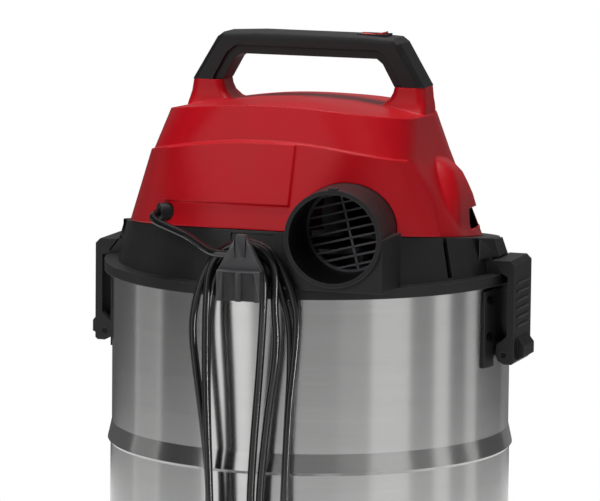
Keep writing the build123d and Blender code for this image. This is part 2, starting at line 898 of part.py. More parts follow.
def make_cover():
    cover = cover_form(0, 0, 0)
    for side in sides.values():
        cover += make_post(side)
        cover += make_pod(side)
    cover -= below_split(0)
    cover -= cover_form(cover_wall, 2 * cover_wall, cover_wall)
    keep = cover_form(cover_wall / 2, 2 * cover_wall, cover_wall)
    for x, y in cover_screw_places():
        boss = split * Pos(x, y, 0) * extrude(Circle(3 * screw_radius), screw_length)
        cover += boss & keep
    for bar in cover_screw_bars(pin_clearance):
        cover -= bar
    for side in sides.values():
        cover -= vent_block(side, 0, pod_reach_high - 2 * pod_corner, pod_reach_low + vent_depth)
    cover -= outlet_rod(outlet_radius + outlet_fit, 0, outlet_length + outlet_wall)
    cover -= gland_rod(-4 * gland_radius, 0, gland_radius + gland_bore_gap)
    cover -= gland_rod(0, 2 * gland_length, gland_flange_radius + gland_bore_gap)
    skin = cover_form(0, 0, 0) - cover_form(cover_panel_depth, 0, 0)
    panel = block(*cover_panel, 0, drum_radius, split_z, cover_crease[4] + drum_radius * split_tilt)
    crease = tilted(cover_crease[4], split_slope) * Pos(0, 0, -drum_radius) * Box(
        4 * drum_radius, 4 * drum_radius, 2 * drum_radius)
    cover -= skin & panel & crease - below_split(-cover_panel_foot)
    for x, y in handle_screw_places():
        low = handle_screw_low()
        cover -= rod((x, y, low), (x, y, post_top_z), handle_screw_radius + pin_clearance)
        cover -= rod((x, y, low - 6 * screw_length), (x, y, low), screw_head_radius + pin_clearance)
    return cover


def make_handle():
    foot_half = post_top_half[0]
    bow = handle_shoulder_x - (grip_top_z - handle_shoulder_z)
    outline = [
        (post_centre + foot_half, post_top_z),
        (handle_shoulder_x, handle_shoulder_z),
        (bow, grip_top_z - 1.5),
        (bow * 0.6, grip_top_z),
    ]
    hole = [
        (handle_hole_top - 4, grip_bottom_z),
        (handle_hole_top + 1, grip_bottom_z - 4),
        (post_centre - foot_half, post_top_z),
    ]
    right_half = [(-x, z) for x, z in outline]
    right_hole = [(-x, z) for x, z in hole]
    points = outline + right_half[::-1] + right_hole[::-1] + hole
    half = handle_depth / 2
    handle = side_plate(points, post_y + half, post_y - half)
    upper = [e for e in handle.edges() if e.center().Z > post_top_z + 1]
    handle = fillet([e for e in upper if abs(e.tangent_at(0.5).Y) < 0.5], handle_edge)
    band = offset(make_face(Polyline(*right_hole, *hole[::-1], close=True)), handle_band)
    for side in (1, -1):
        face = Plane.XZ.offset(-post_y - side * half)
        handle -= extrude(face * band, side * handle_band_depth)
    pocket_x = switch_length / 2 + switch_gap + bezel_wall
    pocket_y = switch_width / 2 + switch_gap + bezel_wall
    handle -= block(switch_x - pocket_x, switch_x + pocket_x, post_y - pocket_y, post_y + pocket_y,
                    grip_top_z - switch_pocket, grip_top_z + switch_pocket)
    for x, y in handle_screw_places():
        top = handle_screw_low() + handle_screw_length
        handle -= rod((x, y, post_top_z), (x, y, top), handle_screw_radius + pin_clearance)
    return handle


def switch_axis_z():
    return grip_top_z - switch_height + switch_pin


def make_bezel():
    gap = switch_gap
    outer_x = switch_length / 2 + gap + bezel_wall - bezel_wall / 8
    outer_y = switch_width / 2 + gap + bezel_wall - bezel_wall / 8
    inner_x = switch_length / 2 + gap
    inner_y = switch_width / 2 + gap
    low = grip_top_z - switch_pocket
    top = grip_top_z + bezel_rise
    bezel = Pos(switch_x, post_y) * (
        block(-outer_x, outer_x, -outer_y, outer_y, low, top)
        - block(-inner_x, inner_x, -inner_y, inner_y, low + bezel_wall, top))
    z = switch_axis_z()
    bezel -= rod((switch_x, post_y - outer_y, z), (switch_x, post_y + outer_y, z), switch_pin + pin_clearance)
    return bezel


def make_rocker():
    z = switch_axis_z()
    top = grip_top_z + 2 * bezel_rise
    half = switch_length / 2
    outline = [
        (switch_x - half, z - switch_pin),
        (switch_x + half, z - switch_pin),
        (switch_x + half, top),
        (switch_x, top - 2 * bezel_rise),
        (switch_x - half, top),
    ]
    rocker = side_plate(outline, post_y + switch_width / 2, post_y - switch_width / 2)
    reach = switch_width / 2 + switch_gap + bezel_wall / 2
    rocker += rod((switch_x, post_y - reach, z), (switch_x, post_y + reach, z), switch_pin)
    return rocker.rotate(Axis((switch_x, post_y, z), (0, 1, 0)), switch_tilt)


def make_blower_tube():
    tube_body = outlet_rod(outlet_radius, 0, outlet_length)
    low = flange_top + outlet_fit
    half = outlet_radius
    back = outlet_y - outlet_lug
    cradle = block(outlet_x - half, outlet_x + half, outlet_y - cradle_reach, back, low, outlet_z)
    cradle -= collar_outside(outlet_fit)
    lug = outlet * Pos(outlet_radius, 0, -outlet_lug) * Box(
        outlet_step, outlet_lug, outlet_lug, align=(Align.CENTER, Align.CENTER, Align.MIN))
    body = tube_body + cradle + lug
    body -= outlet_rod(outlet_bore / 2, 0, outlet_length - outlet_step - grille_thick)
    body -= outlet_rod(grille_seat_radius, 0, outlet_length - outlet_step)
    body -= outlet_rod(outlet_bore / 2 - outlet_step, 0, outlet_length)
    return body


def make_blower_grille():
    """Guard of slanting bars and one cross rib, in the seat at the tube's inner end."""
    radius = grille_seat_radius - grille_gap
    inner = outlet_bore / 2 - outlet_step
    back = outlet_length - outlet_step
    ring = outlet_rod(radius, back - grille_thick, back) - outlet_rod(inner, back - grille_thick, back)
    plane = outlet.offset(-back) * Rot(0, 0, grille_turn)
    pitch = 2 * inner / (grille_bars + 1)
    bars = outlet_rod(inner + grille_gap, back - grille_thick, back)
    comb = []
    for i in range(grille_bars):
        across = -inner + (i + 1) * pitch
        bar = plane * Pos(across, 0, 0) * Box(
            grille_bar, 2 * inner + grille_bar, grille_thick, align=(Align.CENTER, Align.CENTER, Align.MIN))
        comb.append(bar & bars)
    rib = plane * Box(
        2 * inner + grille_bar, grille_bar, grille_thick, align=(Align.CENTER, Align.CENTER, Align.MIN))
    grille = ring + (rib & bars)
    for bar in comb:
        grille += bar
    return grille


def make_gland():
    gland = gland_rod(-2 * gland_flange, gland_length, gland_radius)
    gland += gland_rod(0, gland_flange, gland_flange_radius)
    end = Vector(*gland_foot) + gland_axis * gland_length
    rims = [e for e in gland.edges() if e.geom_type == GeomType.CIRCLE and (e.arc_center - end).length < 0.01]
    gland = fillet(rims, gland_flange / 2)
    return gland - gland_rod(gland_length - gland_depth, gland_length, cord_radius + gland_bore_gap)


def make_hook():
    """Cleat on the collar: a neck that carries the loops, a ribbed box and a pointed keeper."""
    x = hook_x
    seat = collar_low_radius - collar_wall
    neck = block(x - hook_neck_stem, x + hook_neck_stem, seat, hook_plate_front, hook_box_bottom, hook_neck_z)
    neck += rod((x, seat, hook_neck_z), (x, hook_plate_front, hook_neck_z), hook_neck_radius)
    half = hook_box_width / 2
    keeper = side_plate(
        [
            (x - half, hook_box_bottom),
            (x + half, hook_box_bottom),
            (x + half, hook_box_top + 1),
            (x + hook_apex_width / 2, hook_apex_z),
            (x - hook_apex_width / 2, hook_apex_z),
            (x - half, hook_box_top + 1),
        ],
        hook_plate_front,
        hook_plate_back,
    )
    for side in (1, -1):
        groove = x + side * hook_rib
        keeper -= block(groove - hook_groove / 2, groove + hook_groove / 2, hook_plate_front - hook_groove,
                        hook_plate_front, hook_box_top, hook_apex_z)
    box = block(x - half, x + half, hook_plate_front, hook_box_front, hook_box_bottom, hook_box_top)
    recess = (hook_box_width - 3 * hook_rib) / 2
    for side in (1, -1):
        middle = x + side * (hook_rib + recess) / 2
        box -= block(middle - recess / 2, middle + recess / 2, hook_plate_front + hook_groove, hook_box_front,
                     hook_box_bottom, hook_box_top - hook_groove)
    under = rod((0, 0, drum_bottom), (0, 0, flange_bottom), flange_radius + hook_seat_gap)
    return (neck - collar_outside(hook_seat_gap) - under) + keeper + box


def corner_radii(points):
    """The largest arc at each inner point that its two runs leave room for."""
    radii = []
    for before, here, after in zip(points, points[1:], points[2:]):
        run_in = Vector(*here) - Vector(*before)
        run_out = Vector(*after) - Vector(*here)
        turn = math.radians(run_in.get_angle(run_out))
        radii.append(0.45 * min(run_in.length, run_out.length) / math.tan(turn / 2))
    return radii


def cord_along(points):
    """A cord's tube along straight runs joined by arcs."""
    radii = corner_radii(points)
    print("radii", [round(r, 1) for r in radii])
    path = FilletPolyline(*points, radius=radii)
    start = Plane(origin=points[0], z_dir=Vector(*points[1]) - Vector(*points[0]))
    cord = sweep(start * Circle(cord_radius), path=path)
    section = math.pi * cord_radius**2
    print("length", round(path.length, 1), "volume over section", round(cord.volume / section, 1))
    return cord


def lead_route():
    start = Vector(*gland_foot) + gland_axis * (gland_length - gland_depth)
    end = (hook_x + 2 * cord_radius, cord_front_y, loop_low)
    return [tuple(start), *lead_points, end]


def half_loop(side, top_z, top_r, foot, foot_r):
    """One side of a loop: its top arc, straight run and foot arc as corner points of X and Z.

    The run touches both arcs, so the points are the top, an arc's middle, the run's ends,
    the other arc's middle and the foot.
    """
    foot_x, foot_z = foot
    high = (hook_x, top_z - top_r)
    low = (foot_x, foot_z + foot_r)
    across = side * (low[0] - high[0])
    down = low[1] - high[1]
    reach = math.hypot(across, down)
    tilt = math.atan2(down, across) + math.acos((top_r - foot_r) / reach)

    def on_arc(centre, radius, turn):
        return (centre[0] + side * radius * math.cos(turn), centre[1] + radius * math.sin(turn))

    quarter = math.pi / 2
    return [
        (hook_x, top_z),
        on_arc(high, top_r, (quarter + tilt) / 2),
        on_arc(high, top_r, tilt),
        on_arc(low, foot_r, tilt),
        on_arc(low, foot_r, (tilt - quarter) / 2),
        foot,
    ]


def climb(start, end, y_from, y_to):
    """A straight run in X and Z that also crosses from one layer to the other on two arcs."""
    run = Vector(end[0] - start[0], 0, end[1] - start[1])
    way = run.normalized()
    base = Vector(start[0], y_from, start[1])
    shift = y_to - y_from
    finish = Vector(end[0], y_to, end[1])
    if shift == 0:
        return [Line(base, finish)]
    turn = 2 * math.atan(abs(shift) / climb_length)
    sideways = Vector(0, math.copysign(1, shift), 0)
    radius = climb_length / 2 / math.sin(turn)
    sag = radius * (1 - math.cos(turn / 2))
    first = base + way * climb_start
    quarter_in = first + way * (radius * math.sin(turn / 2)) + sideways * sag
    middle = first + way * (climb_length / 2) + sideways * (abs(shift) / 2)
    last = first + way * climb_length + sideways * abs(shift)
    quarter_out = last - way * (radius * math.sin(turn / 2)) - sideways * sag
    return [
        Line(base, first),
        ThreePointArc(first, quarter_in, middle),
        ThreePointArc(middle, quarter_out, last),
        Line(last, finish),
    ]


def hank_edges():
    """Three and a half loops: two in the front layer, then out of the back layer to the tail."""
    high = loop_low + loop_step
    foot_one = (loop_foot_x, loop_foot_z)
    foot_two = (loop_foot_x, loop_foot_z - loop_step)
    foot_three = (loop_foot_x, loop_foot_z - loop_step / 2)
    front = cord_front_y
    middle = cord_middle_y
    back = cord_back_y
    inside = loop_foot_radius
    outside = inside + loop_step
    halves = [
        (-1, loop_low, loop_top_radii[0], foot_one, inside, front, middle),
        (1, high, loop_top_radii[1], foot_one, inside, middle, middle),
        (-1, high, loop_top_radii[2], foot_two, outside, middle, middle),
        (1, loop_low, loop_top_radii[3], foot_two, outside, back, middle),
        (-1, loop_low, loop_top_radii[4], foot_three, outside + loop_step, back, back),
        (1, high, loop_top_radii[5], foot_three, outside + loop_step, back, back),
        (-1, high, loop_top_radii[6], foot_three, outside + 2 * loop_step, back, back),
    ]
    edges = [Line((hook_x + 2 * cord_radius, front, loop_low), (hook_x, front, loop_low))]
    for i, (side, top_z, top_r, foot, foot_r, top_y, foot_y) in enumerate(halves):
        top, top_mid, run_top, run_foot, foot_mid, end = half_loop(side, top_z, top_r, foot, foot_r)
        down = side < 0
        high_arc = [(p[0], top_y, p[1]) for p in (top, top_mid, run_top)]
        low_arc = [(p[0], foot_y, p[1]) for p in (run_foot, foot_mid, end)]
        if i == len(halves) - 1:
            share = tail_run / math.dist(run_top, run_foot)
            run_end = tuple(a + share * (b - a) for a, b in zip(high_arc[2], low_arc[0]))
            edges += [ThreePointArc(*high_arc), Line(high_arc[2], run_end)]
        elif down:
            edges.append(ThreePointArc(*high_arc))
            edges += climb(run_top, run_foot, top_y, foot_y)
            edges.append(ThreePointArc(*low_arc))
        else:
            edges.append(ThreePointArc(*low_arc[::-1]))
            edges += climb(run_foot, run_top, foot_y, top_y)
            edges.append(ThreePointArc(*high_arc[::-1]))
    return edges


def make_hank():
    path = Wire(hank_edges())
    count = round(path.length / cord_radius)
    points = [path.position_at(i / count) for i in range(count + 1)]
    apart = round(4 * math.pi * cord_radius / cord_radius)
    least = min((p - q).length for i, p in enumerate(points) for q in points[i + apart:])
    print("hank length", round(path.length), "least gap", round(least - 2 * cord_radius, 2))
    start = Plane(origin=path.position_at(0), z_dir=path.tangent_at(0))
    return sweep(start * Circle(cord_radius), path=path)


def tail_route():
    run = hank_edges()[-1]
    start = run.position_at(1)
    straight = start + run.tangent_at(1) * tail_straight
    return [tuple(start), tuple(straight), *tail_points, plug_top]


def make_plug():
    """Flat moulded plug hanging pins down, with a tapered strain relief."""
    x, y, z = plug_top
    low = z - plug_relief
    relief = loft([
        Plane.XY.offset(z) * Pos(x, y) * Circle(cord_radius * 1.5),
        Plane.XY.offset(low) * Pos(x, y) * Circle(plug_half[1] * 0.7),
    ])
    neck = Plane.XY.offset(low) * Pos(x, y) * RectangleRounded(
        plug_half[1] * 2, plug_half[1] * 1.5, plug_half[1] * 0.7)
    face = Plane.XY.offset(low - plug_body) * Pos(x, y) * RectangleRounded(
        plug_half[0] * 2, plug_half[1] * 2, plug_half[1] * 0.9)
    return relief + loft([neck, face])


def make_plug_pins():
    x, y, z = plug_top
    high = z - plug_relief - plug_body
    return [rod((x + side * plug_pin_spread / 2, y, high - plug_pin_length),
                (x + side * plug_pin_spread / 2, y, high), plug_pin_radius) for side in (1, -1)]


def make_filter_cage():
    """Slotted basket under the deck that holds the float and carries the filter."""
    inner = cage_radius - cage_wall
    cage = turned(
        (0, cage_bottom_z),
        (cage_radius, cage_bottom_z),
        (cage_radius, flange_bottom - cage_wall),
        (cage_flange, flange_bottom - cage_wall),
        (cage_flange, flange_bottom),
        (inner, flange_bottom),
        (inner, cage_bottom_z + cage_wall),
        (0, cage_bottom_z + cage_wall),
    )
    low = cage_bottom_z + 4 * cage_wall
    high = flange_bottom - 4 * cage_wall
    for i in range(cage_slots):
        wide = cage_slot_width / 2
        slot = block(inner - cage_wall, cage_radius + cage_wall, -wide, wide, low, high)
        cage -= Rot(0, 0, 360 * i / cage_slots) * slot
    return cage


def filter_low():
    return cage_bottom_z - filter_overhang + retainer_gap


def make_filter():
    """Pleated cartridge round the cage."""
    outer = cage_radius + filter_inner_gap + filter_thick
    points = []
    for i in range(2 * filter_pleats):
        radius = outer - filter_pleat_depth * (i % 2)
        turn = math.pi * i / filter_pleats
        points.append((radius * math.cos(turn), radius * math.sin(turn)))
    star = make_face(Polyline(*points, close=True)) - Circle(cage_radius + filter_inner_gap)
    high = flange_bottom - cage_wall - retainer_gap
    return extrude(Plane.XY.offset(filter_low()) * star, high - filter_low())


def make_retainer():
    """Plate under the filter with the hub that meets the cage and a finger knob."""
    outer = cage_radius + filter_inner_gap + filter_thick
    top = cage_bottom_z - filter_overhang
    hub = cage_radius / 4
    knob = hub * 0.8
    return turned(
        (0, top - 2 * retainer_thick),
        (knob, top - 2 * retainer_thick),
        (knob, top - retainer_thick),
        (outer, top - retainer_thick),
        (outer, top),
        (hub, top),
        (hub, cage_bottom_z),
        (0, cage_bottom_z),
    )


def make_float():
    low = cage_bottom_z + cage_wall + float_rest_gap
    bowl = float_radius - cage_wall
    return turned(
        (0, low),
        (bowl, low),
        (float_radius, low + cage_wall),
        (float_radius, low + float_height - cage_wall),
        (bowl, low + float_height),
        (0, low + float_height),
    )


def make_fan_housing():
    """Cover of the fan chamber on the collar's deck, with the seat of the lower bearing."""
    inner = housing_radius - housing_wall
    seat = bearing_radius + housing_wall
    body = turned(
        (inner, deck_top),
        (housing_radius, deck_top),
        (housing_radius, housing_top + housing_wall),
        (seat, housing_top + housing_wall),
        (seat, stator_low - housing_wall),
        (bearing_radius, stator_low - housing_wall),
        (bearing_radius, housing_top),
        (inner, housing_top),
    )
    toward = math.degrees(math.atan2(outlet_y - outlet_length, outlet_x))
    port = Rot(0, 0, toward) * block(inner - housing_wall, housing_radius + housing_wall, -fan_eye, fan_eye,
                                     fan_low, fan_low + fan_height)
    return body - port


def make_bearings():
    inner = shaft_radius + shaft_clearance
    outer = bearing_radius - shaft_clearance
    lows = (housing_top, stator_top + motor_cap - bearing_height)
    return [tube(inner, outer, low, low + bearing_height) for low in lows]


def make_impeller():
    """Closed fan wheel with curved blades between its two plates."""
    plate = cage_wall / 2
    hub = 2 * shaft_radius
    wheel = tube(shaft_radius, fan_radius, fan_low + fan_height - plate, fan_low + fan_height)
    wheel += tube(fan_eye, fan_radius, fan_low, fan_low + plate)
    wheel += tube(shaft_radius, hub, fan_low, fan_low + fan_height)
    blade_in = (fan_eye, 0)
    blade_mid = (fan_radius * 0.72, fan_radius * 0.16)
    blade_out = (fan_radius * 0.92, fan_radius * 0.38)
    spine = ThreePointArc(blade_in, blade_mid, blade_out)
    start = Plane(origin=blade_in + (fan_low + plate / 2,), z_dir=spine.tangent_at(0), x_dir=(0, 0, 1))
    tall = fan_height - plate
    section = start * Pos(tall / 2, 0) * Rectangle(tall, plate)
    blade = sweep(section, path=Pos(0, 0, fan_low + plate / 2) * spine)
    for i in range(fan_blades):
        wheel += Rot(0, 0, 360 * i / fan_blades) * blade
    return wheel


def make_rotor():
    """Shaft with the wound armature and the commutator."""
    low = fan_low
    arm_low = stator_low + shaft_radius
    arm_top = stator_top - shaft_radius
    commutator = stator_top + motor_cap + shaft_clearance * 8
    return turned(
        (0, low),
        (shaft_radius, low),
        (shaft_radius, arm_low),
        (armature_radius, arm_low),
        (armature_radius, arm_top),
        (shaft_radius, arm_top),
        (shaft_radius, commutator),
        (3 * shaft_radius, commutator),
        (3 * shaft_radius, shaft_top - shaft_radius),
        (shaft_radius, shaft_top - shaft_radius),
        (shaft_radius, shaft_top),
        (0, shaft_top),
    )


def make_motor_mount():
    """Rubber ring between the fan chamber and the motor."""
    return tube(stator_radius * 0.7, stator_radius, housing_top + housing_wall, stator_low)


def make_stator():
    return tube(armature_radius + stator_gap, stator_radius, stator_low, stator_top)


def make_motor_cap():
    """Bridge over the stator that holds the upper bearing."""
    return tube(bearing_radius, stator_radius, stator_top, stator_top + motor_cap)


def make_brushes():
    top = stator_top + motor_cap
    reach = 3 * shaft_radius + stator_gap
    wide = shaft_radius
    end = reach + brush_length
    return [block(side * reach, side * end, -wide, wide, top, top + 2 * wide) for side in (1, -1)]


def build():
    os.makedirs("parts", exist_ok=True)
    drum, drum_front = make_drum()
    save("drum", drum)
    save("drum_front", drum_front)
    save("drum_floor", make_drum_floor())
    save("drum_base", make_base())
    save("base_plate", make_base_plate())
    save("base_screws", *make_base_screws())
    for i, (x, y) in enumerate(caster_places(), 1):
        fork, wheel, axle = make_caster(x, y)
        save(f"caster_fork_{i}", fork)
        save(f"caster_wheel_{i}", wheel)
        save(f"caster_axle_{i}", axle)
    port, seal = make_inlet()
    save("inlet_port", port)
    save("inlet_seal", seal)
    save("inlet_screws", *make_inlet_screws())
    save("inlet_baffle", make_baffle())
    save("bracket_rivets", *make_rivets())
    for name, side in sides.items():
        save(f"latch_bracket_{name}", make_bracket(side))
        save(f"latch_{name}", make_latch(side))
        save(f"latch_pin_{name}", make_latch_pin(side))
        save(f"side_vent_{name}", make_vent(side))
    save("collar", make_collar())
    seal_inner = collar_low_radius - base_gap / 2
    seal_outer = flange_radius - flange_skirt - base_gap / 2
    save("collar_seal", tube(seal_inner, seal_outer, drum_rim_top, drum_rim_top + seal_thick))
    save("motor_cover", make_cover())
    save("cover_screws", *make_cover_screws())
    save("handle", make_handle())
    save("handle_screws", *make_handle_screws())
    save("switch_bezel", make_bezel())
    save("switch_rocker", make_rocker())
    save("blower_tube", make_blower_tube())
    save("blower_grille", make_blower_grille())
    save("cord_gland", make_gland())
    save("cord_hook", make_hook())
    save("cord_lead", cord_along(lead_route()))
    save("cord_hank", make_hank())
    save("cord_tail", cord_along(tail_route()))
    save("plug", make_plug())
    save("plug_pins", *make_plug_pins())
    save("filter_cage", make_filter_cage())
    save("filter_element", make_filter())
    save("filter_retainer", make_retainer())
    save("float", make_float())
    save("fan_housing", make_fan_housing())
    save("impeller", make_impeller())
    save("motor_rotor", make_rotor())
    save("motor_bearings", *make_bearings())
    save("motor_mount", make_motor_mount())
    save("motor_stator", make_stator())
    save("motor_cap", make_motor_cap())
    save("carbon_brushes", *make_brushes())


build()
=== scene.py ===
"""Looks of a wet and dry shop vacuum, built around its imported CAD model."""

import math

import bmesh
import bpy
from mathutils import Matrix, Vector


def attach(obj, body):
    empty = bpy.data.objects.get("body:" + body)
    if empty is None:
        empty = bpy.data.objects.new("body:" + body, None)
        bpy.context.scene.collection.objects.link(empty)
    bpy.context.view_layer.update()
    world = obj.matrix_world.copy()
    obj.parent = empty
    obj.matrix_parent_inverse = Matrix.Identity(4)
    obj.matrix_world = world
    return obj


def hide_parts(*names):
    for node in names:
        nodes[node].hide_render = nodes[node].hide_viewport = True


bl_info = {
    "name": "Shop vacuum",
    "version": (1, 0, 0),
    "blender": (4, 5, 0),
    "location": "3D View > Sidebar > Shop vacuum",
    "description": "Builds the looks of a wet and dry shop vacuum around its CAD frame",
    "category": "Object",
}

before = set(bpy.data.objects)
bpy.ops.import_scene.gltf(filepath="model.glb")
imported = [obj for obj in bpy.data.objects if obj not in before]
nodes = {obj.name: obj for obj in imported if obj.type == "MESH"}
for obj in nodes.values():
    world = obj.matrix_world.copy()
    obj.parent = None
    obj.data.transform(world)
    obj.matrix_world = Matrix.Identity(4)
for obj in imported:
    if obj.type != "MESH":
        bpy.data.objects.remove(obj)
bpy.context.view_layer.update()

picture_size = (600, 501)
sensor_width = 36.0


class ShopVacCamera(bpy.types.PropertyGroup):
    azimuth: bpy.props.FloatProperty(
        name="Azimuth", description="Way round the vacuum, from its front", subtype="ANGLE",
        default=math.radians(198.16))
    elevation: bpy.props.FloatProperty(
        name="Elevation", description="Angle above the floor", subtype="ANGLE", default=math.radians(8.92))
    roll: bpy.props.FloatProperty(
        name="Roll", description="Turn about the line of sight", subtype="ANGLE",
        default=math.radians(-0.622))
    distance: bpy.props.FloatProperty(
        name="Distance", description="From the middle of the vacuum", unit="LENGTH", default=4.0)
    middle: bpy.props.FloatVectorProperty(
        name="Middle", description="Point that the distance is measured from", subtype="XYZ", unit="LENGTH",
        default=(0.0, 0.0, 0.35))
    focal_pixels: bpy.props.FloatProperty(
        name="Focal length", description="In pixels of the picture", default=4813.2)
    middle_pixel: bpy.props.FloatVectorProperty(
        name="Middle in the picture", description="Pixel at which the middle lands", size=2,
        default=(310.97, 333.84))


class ShopVacStudio(bpy.types.PropertyGroup):
    floor_colour: bpy.props.FloatVectorProperty(
        name="Floor", description="Colour of the floor", subtype="COLOR", size=3, default=(0.8, 0.8, 0.8))
    shadow_reach: bpy.props.FloatVectorProperty(
        name="Shadow", description="Where the floor's shadow starts to fade to white, and where it has",
        size=2, unit="LENGTH", default=(0.4, 0.95))
    ambient: bpy.props.FloatProperty(
        name="Ambient", description="Strength of the room's own light", default=0.08, min=0)
    key_power: bpy.props.FloatProperty(
        name="Key", description="Power of the large soft light", subtype="POWER", unit="POWER", default=54.0)
    strip_power: bpy.props.FloatProperty(
        name="Strip", description="Power of the strip that lights the cord", subtype="POWER", unit="POWER",
        default=3.0)
    card_reach: bpy.props.FloatProperty(
        name="Cards", description="From the vacuum's axis to the cards that its steel mirrors", unit="LENGTH",
        default=1.3)
    card_height: bpy.props.FloatProperty(
        name="Card height", description="From the floor up", unit="LENGTH", default=1.8)
    card_above: bpy.props.FloatProperty(
        name="Card above", description="Grey of the card over the vacuum", default=0.2, min=0)


class ShopVacFinish(bpy.types.PropertyGroup):
    red: bpy.props.FloatVectorProperty(
        name="Cover", description="Colour of the motor cover", subtype="COLOR", size=3,
        default=(0.35, 0.0015, 0.006))
    black: bpy.props.FloatVectorProperty(
        name="Black", description="Colour of the moulded black pieces", subtype="COLOR", size=3,
        default=(0.007, 0.007, 0.0075))
    steel: bpy.props.FloatVectorProperty(
        name="Steel", description="Colour of the drum", subtype="COLOR", size=3, default=(0.62, 0.62, 0.615))
    steel_roughness: bpy.props.FloatProperty(
        name="Steel roughness", description="Between the brush lines", default=0.24, min=0, max=1)
    edge: bpy.props.FloatProperty(
        name="Edges", description="Radius that the light sees on moulded edges", unit="LENGTH",
        default=0.0011)


class ShopVacCord(bpy.types.PropertyGroup):
    diameter: bpy.props.FloatProperty(
        name="Diameter", description="Across the cord", unit="LENGTH", default=0.0064)
    length: bpy.props.FloatProperty(
        name="Length", description="From the gland to the plug", unit="LENGTH", default=2.93)


def link(piece):
    bpy.context.scene.collection.objects.link(piece)
    return piece


def camera_axes(view):
    """The camera's three axes, aimed so that the middle lands on its pixel, and the way from there to it."""
    back = Vector((
        math.sin(view.azimuth) * math.cos(view.elevation),
        -math.cos(view.azimuth) * math.cos(view.elevation),
        math.sin(view.elevation),
    ))
    level = Vector((0, 0, 1)).cross(back).normalized()
    rise = back.cross(level)
    right = level * math.cos(view.roll) - rise * math.sin(view.roll)
    up = level * math.sin(view.roll) + rise * math.cos(view.roll)
    aside = (view.middle_pixel[0] - picture_size[0] / 2) / view.focal_pixels
    below = (view.middle_pixel[1] - picture_size[1] / 2) / view.focal_pixels
    aim = (back + right * aside - up * below).normalized()
    right = (right - aim * right.dot(aim)).normalized()
    return right, aim.cross(right), aim, back


class SHOPVAC_OT_stage(bpy.types.Operator):
    """Floor, lights, cards and the camera of the photograph"""

    bl_idname = "shopvac.stage"
    bl_label = "Stage"

    def execute(self, context):
        view = context.scene.shop_vac_camera
        studio = context.scene.shop_vac_studio
        right, up, aim, back = camera_axes(view)
        data = bpy.data.cameras.new("camera")
        data.sensor_width = sensor_width
        data.lens = view.focal_pixels * sensor_width / picture_size[0]
        data.clip_end = 50
        camera = link(bpy.data.objects.new("camera", data))
        place = Vector(view.middle) + back * view.distance
        camera.matrix_world = Matrix((
            (right.x, up.x, aim.x, place.x),
            (right.y, up.y, aim.y, place.y),
            (right.z, up.z, aim.z, place.z),
            (0, 0, 0, 1),
        ))
        context.scene.camera = camera
        context.scene.view_settings.view_transform = "Standard"
        make_floor(studio)
        make_world(studio)
        make_lights(studio)
        make_cards(studio, view)
        return {"FINISHED"}


def background_rays(tree):
    """A value of 1 for the rays that see the white background: camera, glossy and transmission."""
    path = tree.nodes.new("ShaderNodeLightPath")
    first = tree.nodes.new("ShaderNodeMath")
    first.operation = "MAXIMUM"
    second = tree.nodes.new("ShaderNodeMath")
    second.operation = "MAXIMUM"
    tree.links.new(path.outputs["Is Camera Ray"], first.inputs[0])
    tree.links.new(path.outputs["Is Glossy Ray"], first.inputs[1])
    tree.links.new(first.outputs[0], second.inputs[0])
    tree.links.new(path.outputs["Is Transmission Ray"], second.inputs[1])
    return second.outputs[0]


def make_floor(studio):
    """Pale floor that keeps the shadow near the vacuum and turns white farther off."""
    mesh = bpy.data.meshes.new("floor")
    shape = bmesh.new()
    bmesh.ops.create_grid(shape, x_segments=1, y_segments=1, size=12)
    shape.to_mesh(mesh)
    shape.free()
    floor = link(bpy.data.objects.new("floor", mesh))
    material, tree, shader = new_material("pale_floor")
    shader.inputs["Base Color"].default_value = (*studio.floor_colour, 1)
    shader.inputs["Roughness"].default_value = 0.9
    place = tree.nodes.new("ShaderNodeTexCoord")
    reach = tree.nodes.new("ShaderNodeVectorMath")
    reach.operation = "LENGTH"
    fade = tree.nodes.new("ShaderNodeMapRange")
    fade.interpolation_type = "SMOOTHSTEP"
    fade.inputs["From Min"].default_value = studio.shadow_reach[0]
    fade.inputs["From Max"].default_value = studio.shadow_reach[1]
    seen = tree.nodes.new("ShaderNodeMath")
    seen.operation = "MULTIPLY"
    white = tree.nodes.new("ShaderNodeEmission")
    mix = tree.nodes.new("ShaderNodeMixShader")
    tree.links.new(place.outputs["Object"], reach.inputs[0])
    tree.links.new(reach.outputs["Value"], fade.inputs["Value"])
    tree.links.new(fade.outputs["Result"], seen.inputs[0])
    tree.links.new(background_rays(tree), seen.inputs[1])
    tree.links.new(seen.outputs[0], mix.inputs["Fac"])
    tree.links.new(shader.outputs["BSDF"], mix.inputs[1])
    tree.links.new(white.outputs["Emission"], mix.inputs[2])
    tree.links.new(mix.outputs["Shader"], tree.nodes["Material Output"].inputs["Surface"])
    mesh.materials.append(material)


def make_world(studio):
    """White where it is seen, and dim as a light."""
    world = bpy.data.worlds.new("studio")
    bpy.context.scene.world = world
    world.use_nodes = True
    tree = world.node_tree
    background = tree.nodes["Background"]
    background.inputs["Color"].default_value = (1, 1, 1, 1)
    level = tree.nodes.new("ShaderNodeMapRange")
    level.inputs["To Min"].default_value = studio.ambient
    level.inputs["To Max"].default_value = 1.0
    tree.links.new(background_rays(tree), level.inputs["Value"])
    tree.links.new(level.outputs["Result"], background.inputs["Strength"])


# Each lamp's place and target, its width and height, all in metres, its share of the key's power, and whether
# reflections see it
lamps = {
    "key": ((0.1, 2.6, 1.7), (0, 0, 0.45), (0.9, 0.8), 0.84, False),
    "side": ((-2.4, 0.4, 1.3), (0, 0, 0.45), (0.5, 1.4), 0.12, False),
    "top": ((0.0, -0.2, 2.6), (0, 0, 0.5), (1.6, 1.0), 1.15, True),
}
cord_strip = ((-1.06, 0.56, 0.19), (0, 0.19, 0.28), (0.07, 0.34))


